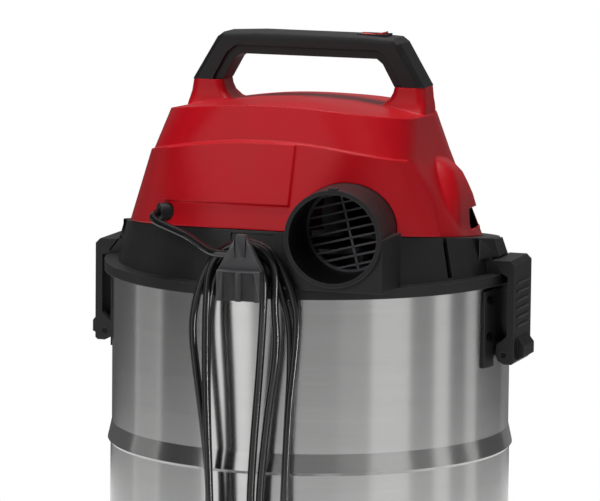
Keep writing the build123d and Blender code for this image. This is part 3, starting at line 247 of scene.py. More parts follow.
def area_light(name, place, target, size, power, mirrored):
    """A rectangular lamp that points at its target."""
    data = bpy.data.lights.new(name, "AREA")
    data.shape = "RECTANGLE"
    data.size, data.size_y = size
    data.energy = power
    light = link(bpy.data.objects.new(name, data))
    light.location = place
    light.rotation_euler = (Vector(target) - Vector(place)).to_track_quat("-Z", "Y").to_euler()
    light.visible_glossy = mirrored
    return light


def make_lights(studio):
    """Soft lights on the vacuum's back, side and top, and a strip that only the cord catches."""
    for name, (place, target, size, share, mirrored) in lamps.items():
        area_light(name, place, target, size, studio.key_power * share, mirrored)
    strip = area_light("cord_strip", *cord_strip, studio.strip_power, True)
    strip.visible_diffuse = False
    strip.light_linking.receiver_collection = bpy.data.collections.new("cord_lit")


# Each card's start and end in degrees from the camera's side, toward its left below 0, its foot and top in
# metres, and its grey
cards = {
    "far_left": (-180, -114, 0, 0.8, 0.10),
    "left": (-113, -92, 0, 0.8, 0.27),
    "near_left": (-91, -59, 0, 0.8, 0.04),
    "front": (-32, 15, 0, 0.8, 0.24),
    "near_front": (15, 33, 0, 0.8, 0.34),
    "bright_right": (34, 54, 0, 0.8, 0.72),
    "grey_right": (55, 71, 0, 0.8, 0.22),
    "strip_right": (71, 82, 0, 0.8, 0.72),
    "gap_right": (82, 95, 0, 0.8, 0.14),
    "thin_strip": (95, 103, 0, 0.8, 0.5),
    "far_right": (104, 138, 0, 0.8, 0.08),
    "behind": (138, 180, 0, 0.8, 0.2),
    "upper_left": (-140, -56, 0.8, 1.8, 0.03),
    "upper_front": (-56, -22, 0.8, 1.8, 1.3),
    "upper_right": (-22, 140, 0.8, 1.8, 0.03),
    "upper_behind": (140, 220, 0.8, 1.8, 0.25),
}


def make_cards(studio, view):
    """Grey cards round the vacuum that only reflections see."""
    for name, (start, end, foot, top, grey) in cards.items():
        mesh = bpy.data.meshes.new("card_" + name)
        shape = bmesh.new()
        turn = math.radians(start) + view.azimuth - math.pi / 2
        place = Vector((math.cos(turn), math.sin(turn), 0)) * studio.card_reach
        low = shape.verts.new(place + Vector((0, 0, foot)))
        high = shape.verts.new(place + Vector((0, 0, top)))
        edge = shape.edges.new((low, high))
        bmesh.ops.spin(
            shape, geom=[low, high, edge], cent=(0, 0, 0), axis=(0, 0, 1), dvec=(0, 0, 0),
            angle=math.radians(end - start), steps=8, use_merge=False)
        shape.to_mesh(mesh)
        shape.free()
        hang_card(name, mesh, grey)
    mesh = bpy.data.meshes.new("card_above")
    shape = bmesh.new()
    bmesh.ops.create_circle(shape, cap_ends=True, segments=48, radius=studio.card_reach)
    bmesh.ops.translate(shape, verts=shape.verts, vec=(0, 0, studio.card_height))
    shape.to_mesh(mesh)
    shape.free()
    hang_card("above", mesh, studio.card_above)


def hang_card(name, mesh, grey):
    card = link(bpy.data.objects.new("card_" + name, mesh))
    mesh.materials.append(glow("card_" + name, grey))
    card.visible_camera = False
    card.visible_diffuse = False
    card.visible_shadow = False


def glow(name, grey):
    material = bpy.data.materials.new(name)
    material.use_nodes = True
    tree = material.node_tree
    tree.nodes.remove(tree.nodes["Principled BSDF"])
    light = tree.nodes.new("ShaderNodeEmission")
    light.inputs["Color"].default_value = (grey, grey, grey, 1)
    tree.links.new(light.outputs["Emission"], tree.nodes["Material Output"].inputs["Surface"])
    return material


def new_material(name):
    material = bpy.data.materials.new(name)
    material.use_nodes = True
    return material, material.node_tree, material.node_tree.nodes["Principled BSDF"]


def new_group(name, inputs, outputs):
    """A node group with float inputs at their usual values, and outputs of the kinds given."""
    tree = bpy.data.node_groups.new(name, "ShaderNodeTree")
    for label, value in inputs.items():
        tree.interface.new_socket(label, in_out="INPUT", socket_type="NodeSocketFloat").default_value = value
    for label, kind in outputs.items():
        tree.interface.new_socket(label, in_out="OUTPUT", socket_type=kind)
    return tree, tree.nodes.new("NodeGroupInput"), tree.nodes.new("NodeGroupOutput")


def moulded_group():
    """Edges that the light sees as rounded, fine grain, faint mottle, and masks of the edges, which get a
    painted highlight, and of the open faces, outside the hollows that get painted shade.
    """
    if "moulded" in bpy.data.node_groups:
        return bpy.data.node_groups["moulded"]
    tree, given, out = new_group(
        "moulded",
        {"Edge": 0.001, "Grain": 900.0, "Depth": 0.2},
        {"Normal": "NodeSocketVector", "Mottle": "NodeSocketFloat", "Edges": "NodeSocketFloat",
         "Open": "NodeSocketFloat"},
    )
    place = tree.nodes.new("ShaderNodeTexCoord")
    # Ambient occlusion for painted shade: the colour is darkened in creases and hollows
    hollow_shade = tree.nodes.new("ShaderNodeAmbientOcclusion")
    hollow_shade.samples = 4
    hollow_shade.inputs["Distance"].default_value = 0.008
    open_air = tree.nodes.new("ShaderNodeMapRange")
    open_air.inputs["From Min"].default_value = 0.25
    open_air.inputs["From Max"].default_value = 0.8
    grain = tree.nodes.new("ShaderNodeTexNoise")
    grain.inputs["Detail"].default_value = 2
    mottle = tree.nodes.new("ShaderNodeTexNoise")
    mottle.inputs["Scale"].default_value = 22
    mottle.inputs["Detail"].default_value = 5
    rounded = tree.nodes.new("ShaderNodeBevel")
    rounded.samples = 4
    bump = tree.nodes.new("ShaderNodeBump")
    bump.inputs["Distance"].default_value = 0.0003
    flat = tree.nodes.new("ShaderNodeNewGeometry")
    apart = tree.nodes.new("ShaderNodeVectorMath")
    apart.operation = "DISTANCE"
    # Mask of the rounded edges, which the finish paints paler, partly as wear and partly as a painted
    # highlight
    edges = tree.nodes.new("ShaderNodeMapRange")
    edges.inputs["From Min"].default_value = 0.12
    edges.inputs["From Max"].default_value = 0.5
    links = tree.links
    links.new(place.outputs["Object"], grain.inputs["Vector"])
    links.new(place.outputs["Object"], mottle.inputs["Vector"])
    links.new(given.outputs["Grain"], grain.inputs["Scale"])
    links.new(given.outputs["Edge"], rounded.inputs["Radius"])
    links.new(given.outputs["Depth"], bump.inputs["Strength"])
    links.new(grain.outputs["Fac"], bump.inputs["Height"])
    links.new(rounded.outputs["Normal"], bump.inputs["Normal"])
    links.new(rounded.outputs["Normal"], apart.inputs[0])
    links.new(flat.outputs["Normal"], apart.inputs[1])
    links.new(apart.outputs["Value"], edges.inputs["Value"])
    links.new(bump.outputs["Normal"], out.inputs["Normal"])
    links.new(mottle.outputs["Fac"], out.inputs["Mottle"])
    links.new(edges.outputs["Result"], out.inputs["Edges"])
    links.new(hollow_shade.outputs["AO"], open_air.inputs["Value"])
    links.new(open_air.outputs["Result"], out.inputs["Open"])
    return tree


def brushed_group():
    """Lines brushed round the Z axis, broad clouds along them, and the normal that they give."""
    tree, given, out = new_group(
        "brushed",
        {"Fine": 3200.0, "Depth": 0.045},
        {"Normal": "NodeSocketVector", "Lines": "NodeSocketFloat", "Cloud": "NodeSocketFloat"},
    )
    place = tree.nodes.new("ShaderNodeTexCoord")
    split = tree.nodes.new("ShaderNodeSeparateXYZ")
    turn = tree.nodes.new("ShaderNodeMath")
    turn.operation = "ARCTAN2"
    rise = tree.nodes.new("ShaderNodeMath")
    rise.operation = "MULTIPLY"
    spot = tree.nodes.new("ShaderNodeCombineXYZ")
    lines = tree.nodes.new("ShaderNodeTexNoise")
    lines.inputs["Scale"].default_value = 1
    lines.inputs["Detail"].default_value = 4
    lines.inputs["Roughness"].default_value = 0.7
    wide = tree.nodes.new("ShaderNodeVectorMath")
    wide.operation = "MULTIPLY"
    wide.inputs[1].default_value = (1.5, 0.02, 1)
    cloud = tree.nodes.new("ShaderNodeTexNoise")
    cloud.inputs["Scale"].default_value = 1
    cloud.inputs["Detail"].default_value = 3
    bump = tree.nodes.new("ShaderNodeBump")
    bump.inputs["Distance"].default_value = 0.0001
    links = tree.links
    links.new(place.outputs["Object"], split.inputs["Vector"])
    links.new(split.outputs["X"], turn.inputs[0])
    links.new(split.outputs["Y"], turn.inputs[1])
    links.new(split.outputs["Z"], rise.inputs[0])
    links.new(given.outputs["Fine"], rise.inputs[1])
    links.new(turn.outputs[0], spot.inputs["X"])
    links.new(rise.outputs[0], spot.inputs["Y"])
    links.new(spot.outputs["Vector"], lines.inputs["Vector"])
    links.new(spot.outputs["Vector"], wide.inputs[0])
    links.new(wide.outputs["Vector"], cloud.inputs["Vector"])
    links.new(lines.outputs["Fac"], bump.inputs["Height"])
    links.new(given.outputs["Depth"], bump.inputs["Strength"])
    links.new(bump.outputs["Normal"], out.inputs["Normal"])
    links.new(lines.outputs["Fac"], out.inputs["Lines"])
    links.new(cloud.outputs["Fac"], out.inputs["Cloud"])
    return tree


def ranged(tree, value, low, high):
    """A noise value spread from one number to another."""
    spread = tree.nodes.new("ShaderNodeMapRange")
    spread.inputs["From Min"].default_value = 0.3
    spread.inputs["From Max"].default_value = 0.7
    spread.inputs["To Min"].default_value = low
    spread.inputs["To Max"].default_value = high
    tree.links.new(value, spread.inputs["Value"])
    return spread.outputs["Result"]


def mixed(tree, factor, first, second):
    """A colour between two, either of them a colour or a socket."""
    mix = tree.nodes.new("ShaderNodeMix")
    mix.data_type = "RGBA"
    tree.links.new(factor, mix.inputs["Factor"])
    for socket, colour in ((mix.inputs["A"], first), (mix.inputs["B"], second)):
        if isinstance(colour, bpy.types.NodeSocket):
            tree.links.new(colour, socket)
        else:
            socket.default_value = (*colour, 1)
    return mix.outputs["Result"]


def scaled(colour, times):
    return tuple(min(channel * times, 1) for channel in colour)


# How far a moulded finish's roughness goes below and above its own value
gloss_spread = (0.04, 0.05)

# The steel's colour in the dark and bright brush lines and in the clouds, against its own, the most that the
# clouds cover, and how far its roughness goes to either side
steel_shades = (0.95, 1.03, 0.84)
cloud_cover = 0.25
brush_spread = 0.02


def moulded(
        name, colour, roughness, metallic=0.0, grain=900.0, depth=0.2, edge=0.001, vary=0.12, wear=1.6,
        shine=0.5, hollow_shade=0.7):
    """A moulded, cast or plated finish: grain, mottled tone and gloss, edges painted paler as wear and
    painted highlight, and painted shade in the hollows.
    """
    material, tree, shader = new_material(name)
    surface = tree.nodes.new("ShaderNodeGroup")
    surface.node_tree = moulded_group()
    surface.inputs["Edge"].default_value = edge
    surface.inputs["Grain"].default_value = grain
    surface.inputs["Depth"].default_value = depth
    mottle = surface.outputs["Mottle"]
    tone = mixed(tree, ranged(tree, mottle, 0, 1), scaled(colour, 1 - vary), scaled(colour, 1 + vary))
    # Rounded edges painted paler: partly wear, partly a painted highlight where they would catch the light
    worn_and_highlit = mixed(tree, surface.outputs["Edges"], tone, scaled(colour, wear))
    # Painted shade: the colour darkens in the creases and hollows that the ambient occlusion finds
    hollow_shaded = mixed(tree, surface.outputs["Open"], scaled(colour, 1 - hollow_shade), worn_and_highlit)
    tree.links.new(hollow_shaded, shader.inputs["Base Color"])
    rough = ranged(tree, mottle, roughness - gloss_spread[0], roughness + gloss_spread[1])
    tree.links.new(rough, shader.inputs["Roughness"])
    tree.links.new(surface.outputs["Normal"], shader.inputs["Normal"])
    shader.inputs["Metallic"].default_value = metallic
    shader.inputs["Specular IOR Level"].default_value = shine
    return material


def brushed_steel(finish):
    """Steel brushed round the drum, which smears what it mirrors upward and downward."""
    material, tree, shader = new_material("brushed_steel")
    surface = tree.nodes.new("ShaderNodeGroup")
    surface.node_tree = brushed_group()
    lines = surface.outputs["Lines"]
    dark, bright, cloudy = (scaled(finish.steel, times) for times in steel_shades)
    fine = mixed(tree, ranged(tree, lines, 0, 1), dark, bright)
    tone = mixed(tree, ranged(tree, surface.outputs["Cloud"], 0, cloud_cover), fine, cloudy)
    tree.links.new(tone, shader.inputs["Base Color"])
    rough = ranged(
        tree, lines, finish.steel_roughness - brush_spread, finish.steel_roughness + brush_spread)
    tree.links.new(rough, shader.inputs["Roughness"])
    tree.links.new(surface.outputs["Normal"], shader.inputs["Normal"])
    round_axis = tree.nodes.new("ShaderNodeTangent")
    round_axis.direction_type = "RADIAL"
    round_axis.axis = "Z"
    tree.links.new(round_axis.outputs["Tangent"], shader.inputs["Tangent"])
    shader.inputs["Metallic"].default_value = 1
    shader.inputs["Anisotropic"].default_value = 0.85
    shader.inputs["Anisotropic Rotation"].default_value = 0.25
    return material


def dress(material, *names):
    """Gives CAD nodes one material."""
    for name in names:
        nodes[name].data.materials.clear()
        nodes[name].data.materials.append(material)


def shared(name, *args, **values):
    """A moulded finish that several pieces share."""
    return bpy.data.materials.get(name) or moulded(name, *args, **values)


def black_plastic(context):
    finish = context.scene.shop_vac_finish
    return shared(
        "black_plastic", finish.black, 0.46, edge=finish.edge, grain=1100, depth=0.25, wear=6, shine=0.4)


def collar_plastic(context):
    finish = context.scene.shop_vac_finish
    return shared(
        "collar_plastic", scaled(finish.black, 1.1), 0.42, edge=finish.edge, grain=800, depth=0.3, wear=5,
        shine=0.45)


def zinc_plate():
    return shared(
        "zinc_plate", (0.56, 0.57, 0.58), 0.32, metallic=1.0, grain=500, depth=0.1, edge=0.0005, wear=1.2)


def soft_rubber():
    return shared("soft_rubber", (0.02, 0.02, 0.02), 0.6, grain=700, depth=0.3, edge=0.0005)


class SHOPVAC_OT_drum(bpy.types.Operator):
    """Brushed steel drum and its floor"""

    bl_idname = "shopvac.drum"
    bl_label = "Drum"

    def execute(self, context):
        dress(brushed_steel(context.scene.shop_vac_finish), "drum", "drum_front", "drum_floor")
        return {"FINISHED"}


class SHOPVAC_OT_base(bpy.types.Operator):
    """Base ring with its plate, screws and casters"""

    bl_idname = "shopvac.base"
    bl_label = "Base and casters"

    def execute(self, context):
        dress(black_plastic(context), "drum_base", "base_plate")
        tread = moulded(
            "caster_tread", (0.06, 0.06, 0.062), 0.55, grain=350, depth=0.35, vary=0.2, edge=0.0012)
        dress(zinc_plate(), "base_screws")
        for i in range(1, 5):
            dress(zinc_plate(), f"caster_fork_{i}", f"caster_axle_{i}")
            dress(tread, f"caster_wheel_{i}")
        return {"FINISHED"}


class SHOPVAC_OT_inlet(bpy.types.Operator):
    """Hose inlet with its seal, screws and baffle"""

    bl_idname = "shopvac.inlet"
    bl_label = "Hose inlet"

    def execute(self, context):
        dress(black_plastic(context), "inlet_port", "inlet_baffle")
        dress(soft_rubber(), "inlet_seal")
        dress(zinc_plate(), "inlet_screws")
        return {"FINISHED"}


class SHOPVAC_OT_latches(bpy.types.Operator):
    """Latches with their pins, and the brackets riveted to the drum"""

    bl_idname = "shopvac.latches"
    bl_label = "Latches"

    def execute(self, context):
        dark = moulded(
            "dark_zinc", (0.02, 0.02, 0.021), 0.35, metallic=1.0, grain=500, depth=0.1, edge=0.0005)
        dress(dark, "bracket_rivets")
        for side in ("left", "right"):
            dress(black_plastic(context), f"latch_{side}", f"latch_bracket_{side}")
            dress(dark, f"latch_pin_{side}")
        return {"FINISHED"}


def cad_copy(name):
    """A merged copy of a CAD node's mesh, to be reshaped."""
    shape = bmesh.new()
    shape.from_mesh(nodes[name].data)
    bmesh.ops.remove_doubles(shape, verts=shape.verts, dist=0.000001)
    return shape


def stand_in(shape, name, material, body, sharp=28):
    """Puts a new or reshaped mesh in its CAD node's place, with edges above an angle left sharp."""
    mesh = bpy.data.meshes.new(name + "_skin")
    shape.to_mesh(mesh)
    shape.free()
    mesh.shade_smooth()
    mesh.set_sharp_from_angle(angle=math.radians(sharp))
    piece = link(bpy.data.objects.new(name + "_skin", mesh))
    mesh.materials.append(material)
    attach(piece, body)
    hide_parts(name)
    return piece


# Rise toward the back of the split between the collar and the cover
split_rise = 0.1086

# The slot in the collar's wall, in metres: width, depth and height, its middle before it is turned about the
# upright axis, and that turn in degrees
slot_size = (0.005, 0.02, 0.033)
slot_middle = (0, 0.1605, 0.4305)
slot_turn = 62.5

# The collar's lugs, in metres: where the CAD model's outer corners start, aside, across and up, and where
# their tops do; then half the width outside, the tops' reach and their height in the middle
lug_corners = (0.1645, 0.033, 0.424)
lug_tops = 0.43
lug_half_width = 0.013
lug_reach = 0.1605
lug_height = 0.4388


def slot_cutter():
    """The upright slot in the collar's wall right of the outlet."""
    shape = bmesh.new()
    bmesh.ops.create_cube(shape, size=1)
    bmesh.ops.scale(shape, verts=shape.verts, vec=slot_size)
    bmesh.ops.translate(shape, verts=shape.verts, vec=slot_middle)
    turn = Matrix.Rotation(math.radians(slot_turn), 3, "Z")
    bmesh.ops.rotate(shape, verts=shape.verts, cent=(0, 0, 0), matrix=turn)
    return shape


class SHOPVAC_OT_collar(bpy.types.Operator):
    """Collar of the head with its seal and the screws under the cover"""

    bl_idname = "shopvac.collar"
    bl_label = "Collar"

    def execute(self, context):
        shape = cad_copy("collar")
        for vert in shape.verts:
            x, y, z = vert.co
            if abs(x) > lug_corners[0] and abs(y) > lug_corners[1] and z > lug_corners[2]:
                vert.co.y = math.copysign(lug_half_width, y)
                if z > lug_tops:
                    vert.co.x = math.copysign(lug_reach, x)
                    vert.co.z = lug_height + split_rise * vert.co.y
        shape = cut_away(shape, [slot_cutter()])
        collar = stand_in(shape, "collar", collar_plastic(context), "head", sharp=10)
        flat_tops = collar.modifiers.new("flat_tops", "WEIGHTED_NORMAL")
        flat_tops.weight = 90
        flat_tops.keep_sharp = True
        dress(soft_rubber(), "collar_seal")
        dress(zinc_plate(), "cover_screws")
        return {"FINISHED"}


# Rounded sections in millimetres: right, left, back, front, corner, height at the axis, rise toward the back,
# and the fall toward the sides
cover_foot = (-140, 140, 146, -127, 117, 439.2, split_rise, 0)
cover_crease = (-109, 109, 122.5, -71, 48, 520.2, 0.036, 1 / 880)
cover_ridge = (-104, 104, 112, -65, 66, 547.6, 0.036, 1 / 1150)
crown_rings = [
    (-74, 74, 84, -38, 46, 549.8, 0.036, 1 / 940),
    (-42, 42, 54, -12, 24, 550.4, 0.036, 1 / 890),
    (-12, 12, 26, 12, 5, 550.4, 0.036, 1 / 890),
]
post_rings = [
    (74, 100, 19, -15, 7, 560.9, 0, 0),
    (73, 100.5, 19.5, -15, 7, 556, 0, 0),
    (70.5, 101, 20.5, -15, 7, 551, 0, 0),
    (65, 102, 22, -15, 7, 546.5, 0, 0),
    (55, 102.5, 25, -15, 7, 542.5, 0, 0),
    (38, 102.5, 29, -15, 7, 538, 0, 0),
]
pod_rings = [
    (78, 137, 50, -50, 22, 439.2, split_rise, 0),
    (78, 134.5, 43, -43, 21, 463, split_rise, 0),
    (78, 132.5, 37, -37, 20, 474, split_rise, 0),
    (78, 129, 32, -32, 19, 484, split_rise, 0),
    (78, 125.5, 28, -28, 18, 492, split_rise, 0),
    (78, 119, 24, -24, 16, 499, split_rise, 0),
    (78, 108, 20, -20, 13, 504, split_rise, 0),
]
# The recessed back in millimetres: how far back and how high its edge has a knee, how much that edge leans
# below and above the knee, the depth, and the width of the slanted rim against the depth
back_recess = (66, 490, 0.15, 1, 2.0, 0.7)
# The panel in it: right, left, height above the foot, depth, and its rim likewise
panel_recess = (-27.4, 84, 19, 2.4, 0.6)
# Edges of the wall that rise more than this are divided
tall_edge = 40

# The blower outlet in millimetres: its hole in the cover, a point on its axis, and its turn in degrees
outlet_hole = 39.3
outlet_middle = (-70, 128, 455.6)
outlet_turn = 6

# The notch for the left side vent in millimetres, its size and middle, and the vent's move inward and down
vent_size = (60, 40, 17)
vent_middle = (156, -20, 453)
vent_move = (4, 3)

millimetre = 0.001


def first_ring(shape, section):
    """A closed loop of edges along a rectangle with round corners."""
    right, left, back, front, corner = section[:5]
    square = bmesh.ops.create_grid(shape, x_segments=1, y_segments=1, size=0.5)["verts"]
    bmesh.ops.scale(shape, verts=square, vec=(left - right, back - front, 1))
    bmesh.ops.translate(shape, verts=square, vec=((left + right) / 2, (back + front) / 2, 0))
    bmesh.ops.bevel(
        shape, geom=square, affect="VERTICES", offset=corner, segments=8, profile=0.5, material=-1)
    face = shape.faces[:][-1]
    straight = sorted(face.edges, key=lambda edge: edge.calc_length())[-4:]
    bmesh.ops.subdivide_edges(shape, edges=straight, cuts=9)
    edges = face.edges[:]
    bmesh.ops.delete(shape, geom=[face], context="FACES_ONLY")
    for vert in {vert for edge in edges for vert in edge.verts}:
        refit(vert, section, section)
    return edges


def refit(vert, old, new):
    """Moves a point of one rounded section to the same place on another."""
    place = []
    for axis in (0, 1):
        low, high = sorted(old[2 * axis:2 * axis + 2])
        new_low, new_high = sorted(new[2 * axis:2 * axis + 2])
        core = min(max(vert.co[axis], low + old[4]), high - old[4])
        along = (core - low - old[4]) / (high - low - 2 * old[4])
        out = (vert.co[axis] - core) / old[4]
        place.append(new_low + new[4] + along * (new_high - new_low - 2 * new[4]) + out * new[4])
    x, y = place
    vert.co = (x, y, new[5] + new[6] * y - new[7] * x * x)


def loft_rings(shape, sections):
    """Walls from section to section; returns the last loop and the faces of each wall."""
    edges = first_ring(shape, sections[0])
    walls = []
    for old, new in zip(sections, sections[1:]):
        grown = bmesh.ops.extrude_edge_only(shape, edges=edges)["geom"]
        edges = [item for item in grown
                 if isinstance(item, bmesh.types.BMEdge) and len(item.link_faces) == 1]
        walls.append([item for item in grown if isinstance(item, bmesh.types.BMFace)])
        for vert in [item for item in grown if isinstance(item, bmesh.types.BMVert)]:
            refit(vert, old, new)
    return edges, walls


def slice_faces(shape, faces, place, normal):
    """Cuts faces along a plane and returns all the faces that come of it."""
    geom = [*faces, *{e for f in faces for e in f.edges}, *{v for f in faces for v in f.verts}]
    cut = bmesh.ops.bisect_plane(shape, geom=geom, dist=0.001, plane_co=place, plane_no=normal)["geom"]
    return [item for item in cut if isinstance(item, bmesh.types.BMFace)]


def cover_body():
    """The cover's walls and crown, with the recessed back and the panel beside the gland."""
    shape = bmesh.new()
    edges, walls = loft_rings(shape, [cover_foot, cover_crease, cover_ridge, *crown_rings])
    bmesh.ops.contextual_create(shape, geom=edges)
    tall = [e for f in walls[0] for e in f.edges if abs(e.verts[0].co.z - e.verts[1].co.z) > tall_edge]
    bmesh.ops.subdivide_edges(shape, edges=list(set(tall)), cuts=5, use_grid_fill=True)
    reach, knee, low_lean, high_lean, depth, rim = back_recess
    right, left, rise, panel_depth, panel_rim = panel_recess
    faces = [f for f in shape.faces if f.calc_center_median().z < wall_top(f.calc_center_median())]
    for place, normal in (
            ((0, reach, knee), (0, 1, low_lean)),
            ((0, reach, knee), (0, 1, -high_lean)),
            ((right, 0, 0), (1, 0, 0)),
            ((left, 0, 0), (1, 0, 0)),
            ((0, 0, cover_foot[5] + rise), (0, -split_rise, 1))):
        faces = slice_faces(shape, faces, place, normal)
    back = [f for f in faces if f.is_valid and is_back(f.calc_center_median())]
    bmesh.ops.inset_region(
        shape, faces=back, thickness=depth * rim, depth=-depth, use_even_offset=True, use_boundary=False)
    panel = [f for f in back if is_panel(f.calc_center_median())]
    bmesh.ops.inset_region(
        shape, faces=panel, thickness=panel_depth * panel_rim, depth=-panel_depth, use_even_offset=True,
        use_boundary=False)
    bottom = [e for e in shape.edges if len(e.link_faces) == 1]
    bmesh.ops.holes_fill(shape, edges=bottom)
    return shape


def wall_top(place):
    """The height 1 mm below the crease over a place."""
    return cover_crease[5] + cover_crease[6] * place.y - cover_crease[7] * place.x ** 2 - 1


def is_back(place):
    """Whether a place on the wall lies in the recessed back."""
    reach, knee, low_lean, high_lean = back_recess[:4]
    return place.y > reach + abs(place.z - knee) * (high_lean if place.z > knee else low_lean)


def is_panel(place):
    """Whether a place on the recessed back lies in the panel."""
    right, left, rise = panel_recess[:3]
    return right < place.x < left and place.z > cover_foot[5] + cover_foot[6] * place.y + rise


def lofted(sections, mirrored):
    """A closed form through sections, or its mirror on the other side."""
    shape = bmesh.new()
    loft_rings(shape, sections)
    bmesh.ops.holes_fill(shape, edges=[e for e in shape.edges if len(e.link_faces) == 1])
    if mirrored:
        bmesh.ops.scale(shape, verts=shape.verts, vec=(-1, 1, 1))
    bmesh.ops.recalc_face_normals(shape, faces=shape.faces)
    return shape


def outlet_cutter():
    """A bar along the outlet's axis that cuts its hole."""
    shape = bmesh.new()
    bmesh.ops.create_cone(
        shape, cap_ends=True, segments=96, radius1=outlet_hole, radius2=outlet_hole, depth=300)
    turn = Matrix.Rotation(math.radians(outlet_turn), 3, "Z") @ Matrix.Rotation(math.radians(90), 3, "X")
    bmesh.ops.rotate(shape, verts=shape.verts, matrix=turn)
    bmesh.ops.translate(shape, verts=shape.verts, vec=outlet_middle)
    return shape


def vent_cutter(side):
    """A block that cuts a side vent's notch, on the left for side 1 and on the right for -1."""
    shape = bmesh.new()
    bmesh.ops.create_cube(shape, size=1)
    bmesh.ops.scale(shape, verts=shape.verts, vec=vent_size)
    bmesh.ops.translate(shape, verts=shape.verts, vec=(side * vent_middle[0], *vent_middle[1:]))
    return shape


def as_mesh(name, shape):
    mesh = bpy.data.meshes.new(name)
    bmesh.ops.recalc_face_normals(shape, faces=shape.faces)
    shape.to_mesh(mesh)
    shape.free()
    return mesh


def cut_away(shape, cutters):
    """The shape less its cutters."""
    piece = link(bpy.data.objects.new("whole", as_mesh("whole", shape)))
    for cutter in cutters:
        tool = link(bpy.data.objects.new("cutter", as_mesh("cutter", cutter)))
        step = piece.modifiers.new("cut", "BOOLEAN")
        step.operation = "DIFFERENCE"
        step.solver = "EXACT"
        step.object = tool
    remains = bmesh.new()
    remains.from_object(piece, bpy.context.evaluated_depsgraph_get())
    for step in piece.modifiers:
        bpy.data.objects.remove(step.object)
    bpy.data.objects.remove(piece)
    return remains


class SHOPVAC_OT_cover(bpy.types.Operator):
    """Red motor cover and its side vents"""

    bl_idname = "shopvac.cover"
    bl_label = "Motor cover"

    def execute(self, context):
        finish = context.scene.shop_vac_finish
        red = moulded(
            "cover_red", finish.red, 0.36, grain=1000, depth=0.12, vary=0.05, edge=0.002, wear=1.5,
            shine=0.32, hollow_shade=0.1)
        shells = [cut_away(cover_body(), [outlet_cutter(), vent_cutter(1), vent_cutter(-1)])]
        for side in (1, -1):
            shells.append(lofted(post_rings, side < 0))
            shells.append(cut_away(lofted(pod_rings, side < 0), [vent_cutter(side), outlet_cutter()]))
        shape = bmesh.new()
        for shell in shells:
            shape.from_mesh(as_mesh("shell", shell))
        bmesh.ops.scale(shape, verts=shape.verts, vec=(millimetre,) * 3)
        stand_in(shape, "motor_cover", red, "head")
        inward, down = vent_move
        for name, side in (("side_vent_left", 1), ("side_vent_right", -1)):
            shape = cad_copy(name)
            bmesh.ops.translate(
                shape, verts=shape.verts, vec=(-side * inward * millimetre, 0, -down * millimetre))
            stand_in(shape, name, black_plastic(context), "head")
        return {"FINISHED"}


class SHOPVAC_OT_handle(bpy.types.Operator):
    """Carry handle with its screws and the rocker switch"""

    bl_idname = "shopvac.handle"
    bl_label = "Handle and switch"

    def execute(self, context):
        dress(black_plastic(context), "handle", "switch_bezel")
        dress(zinc_plate(), "handle_screws")
        rocker = moulded(
            "rocker_red", (0.5, 0.012, 0.015), 0.25, grain=1200, depth=0.05, edge=0.0008, wear=1.2)
        dress(rocker, "switch_rocker")
        return {"FINISHED"}


# The grille in millimetres: its bars' spacing, depth and thickness and the circle that they end on, its rib's
# width and length, half its ring's width and depth and that ring's radius, its middle, and its bars' lean in
# degrees
bar_spacing = 7.3
bar_depth = 2.6
bar_thickness = 1.6
bar_circle = 34.3
rib_width = 1.8
rib_length = 67
ring_half = (1.1, 1.4)
ring_radius = 34.2
grille_middle = (-68, 111.4, 455.6)
grille_lean = 14


def grille_bar(shape, centre, size):
    """A straight bar across the grille's own plane, x along the bars and z across them, in millimetres."""
    bar = bmesh.ops.create_cube(shape, size=1)["verts"]
    bmesh.ops.scale(shape, verts=bar, vec=size)
    bmesh.ops.translate(shape, verts=bar, vec=centre)


def grille():
    """Thin bars with one rib across them in a narrow ring, turned to lie across the outlet's inner end."""
    shape = bmesh.new()
    for number in range(-4, 5):
        height = bar_spacing * number
        length = 2 * math.sqrt(bar_circle ** 2 - height ** 2)
        grille_bar(shape, (0, 0, height), (length, bar_depth, bar_thickness))
    grille_bar(shape, (0, 0, 0), (rib_width, bar_depth, rib_length))
    ring = bmesh.ops.create_grid(shape, x_segments=1, y_segments=1, size=1)["verts"]
    bmesh.ops.scale(shape, verts=ring, vec=(*ring_half, 1))
    bmesh.ops.translate(shape, verts=ring, vec=(ring_radius, 0, 0))
    faces = list({face for vert in ring for face in vert.link_faces})
    bmesh.ops.spin(
        shape, geom=faces + ring, cent=(0, 0, 0), axis=(0, 1, 0), angle=math.tau, steps=48, use_merge=True)
    bmesh.ops.delete(shape, geom=faces, context="FACES_ONLY")
    for turn, axis in ((grille_lean, "Y"), (outlet_turn, "Z")):
        matrix = Matrix.Rotation(math.radians(turn), 3, axis)
        bmesh.ops.rotate(shape, verts=shape.verts, cent=(0, 0, 0), matrix=matrix)
    bmesh.ops.translate(shape, verts=shape.verts, vec=grille_middle)
    bmesh.ops.scale(shape, verts=shape.verts, vec=(millimetre,) * 3)
    bmesh.ops.recalc_face_normals(shape, faces=shape.faces)
    return shape


class SHOPVAC_OT_outlet(bpy.types.Operator):
    """Blower outlet and the grille at its inner end"""

    bl_idname = "shopvac.outlet"
    bl_label = "Blower outlet"

    def execute(self, context):
        dress(black_plastic(context), "blower_tube")
        plastic = shared("grille_plastic", scaled(context.scene.shop_vac_finish.black, 9), 0.4, edge=0.0003)
        stand_in(grille(), "blower_grille", plastic, "head")
        return {"FINISHED"}


# The hook's box in metres: how far back it starts, its middle in the CAD model and here, its width against
# the CAD model's, and how much it rises below and above a height
box_start = 0.1945
box_middles = (-0.006, -0.0065)
box_width = 0.9
box_rises = (0.0045, 0.002)
box_change = 0.44


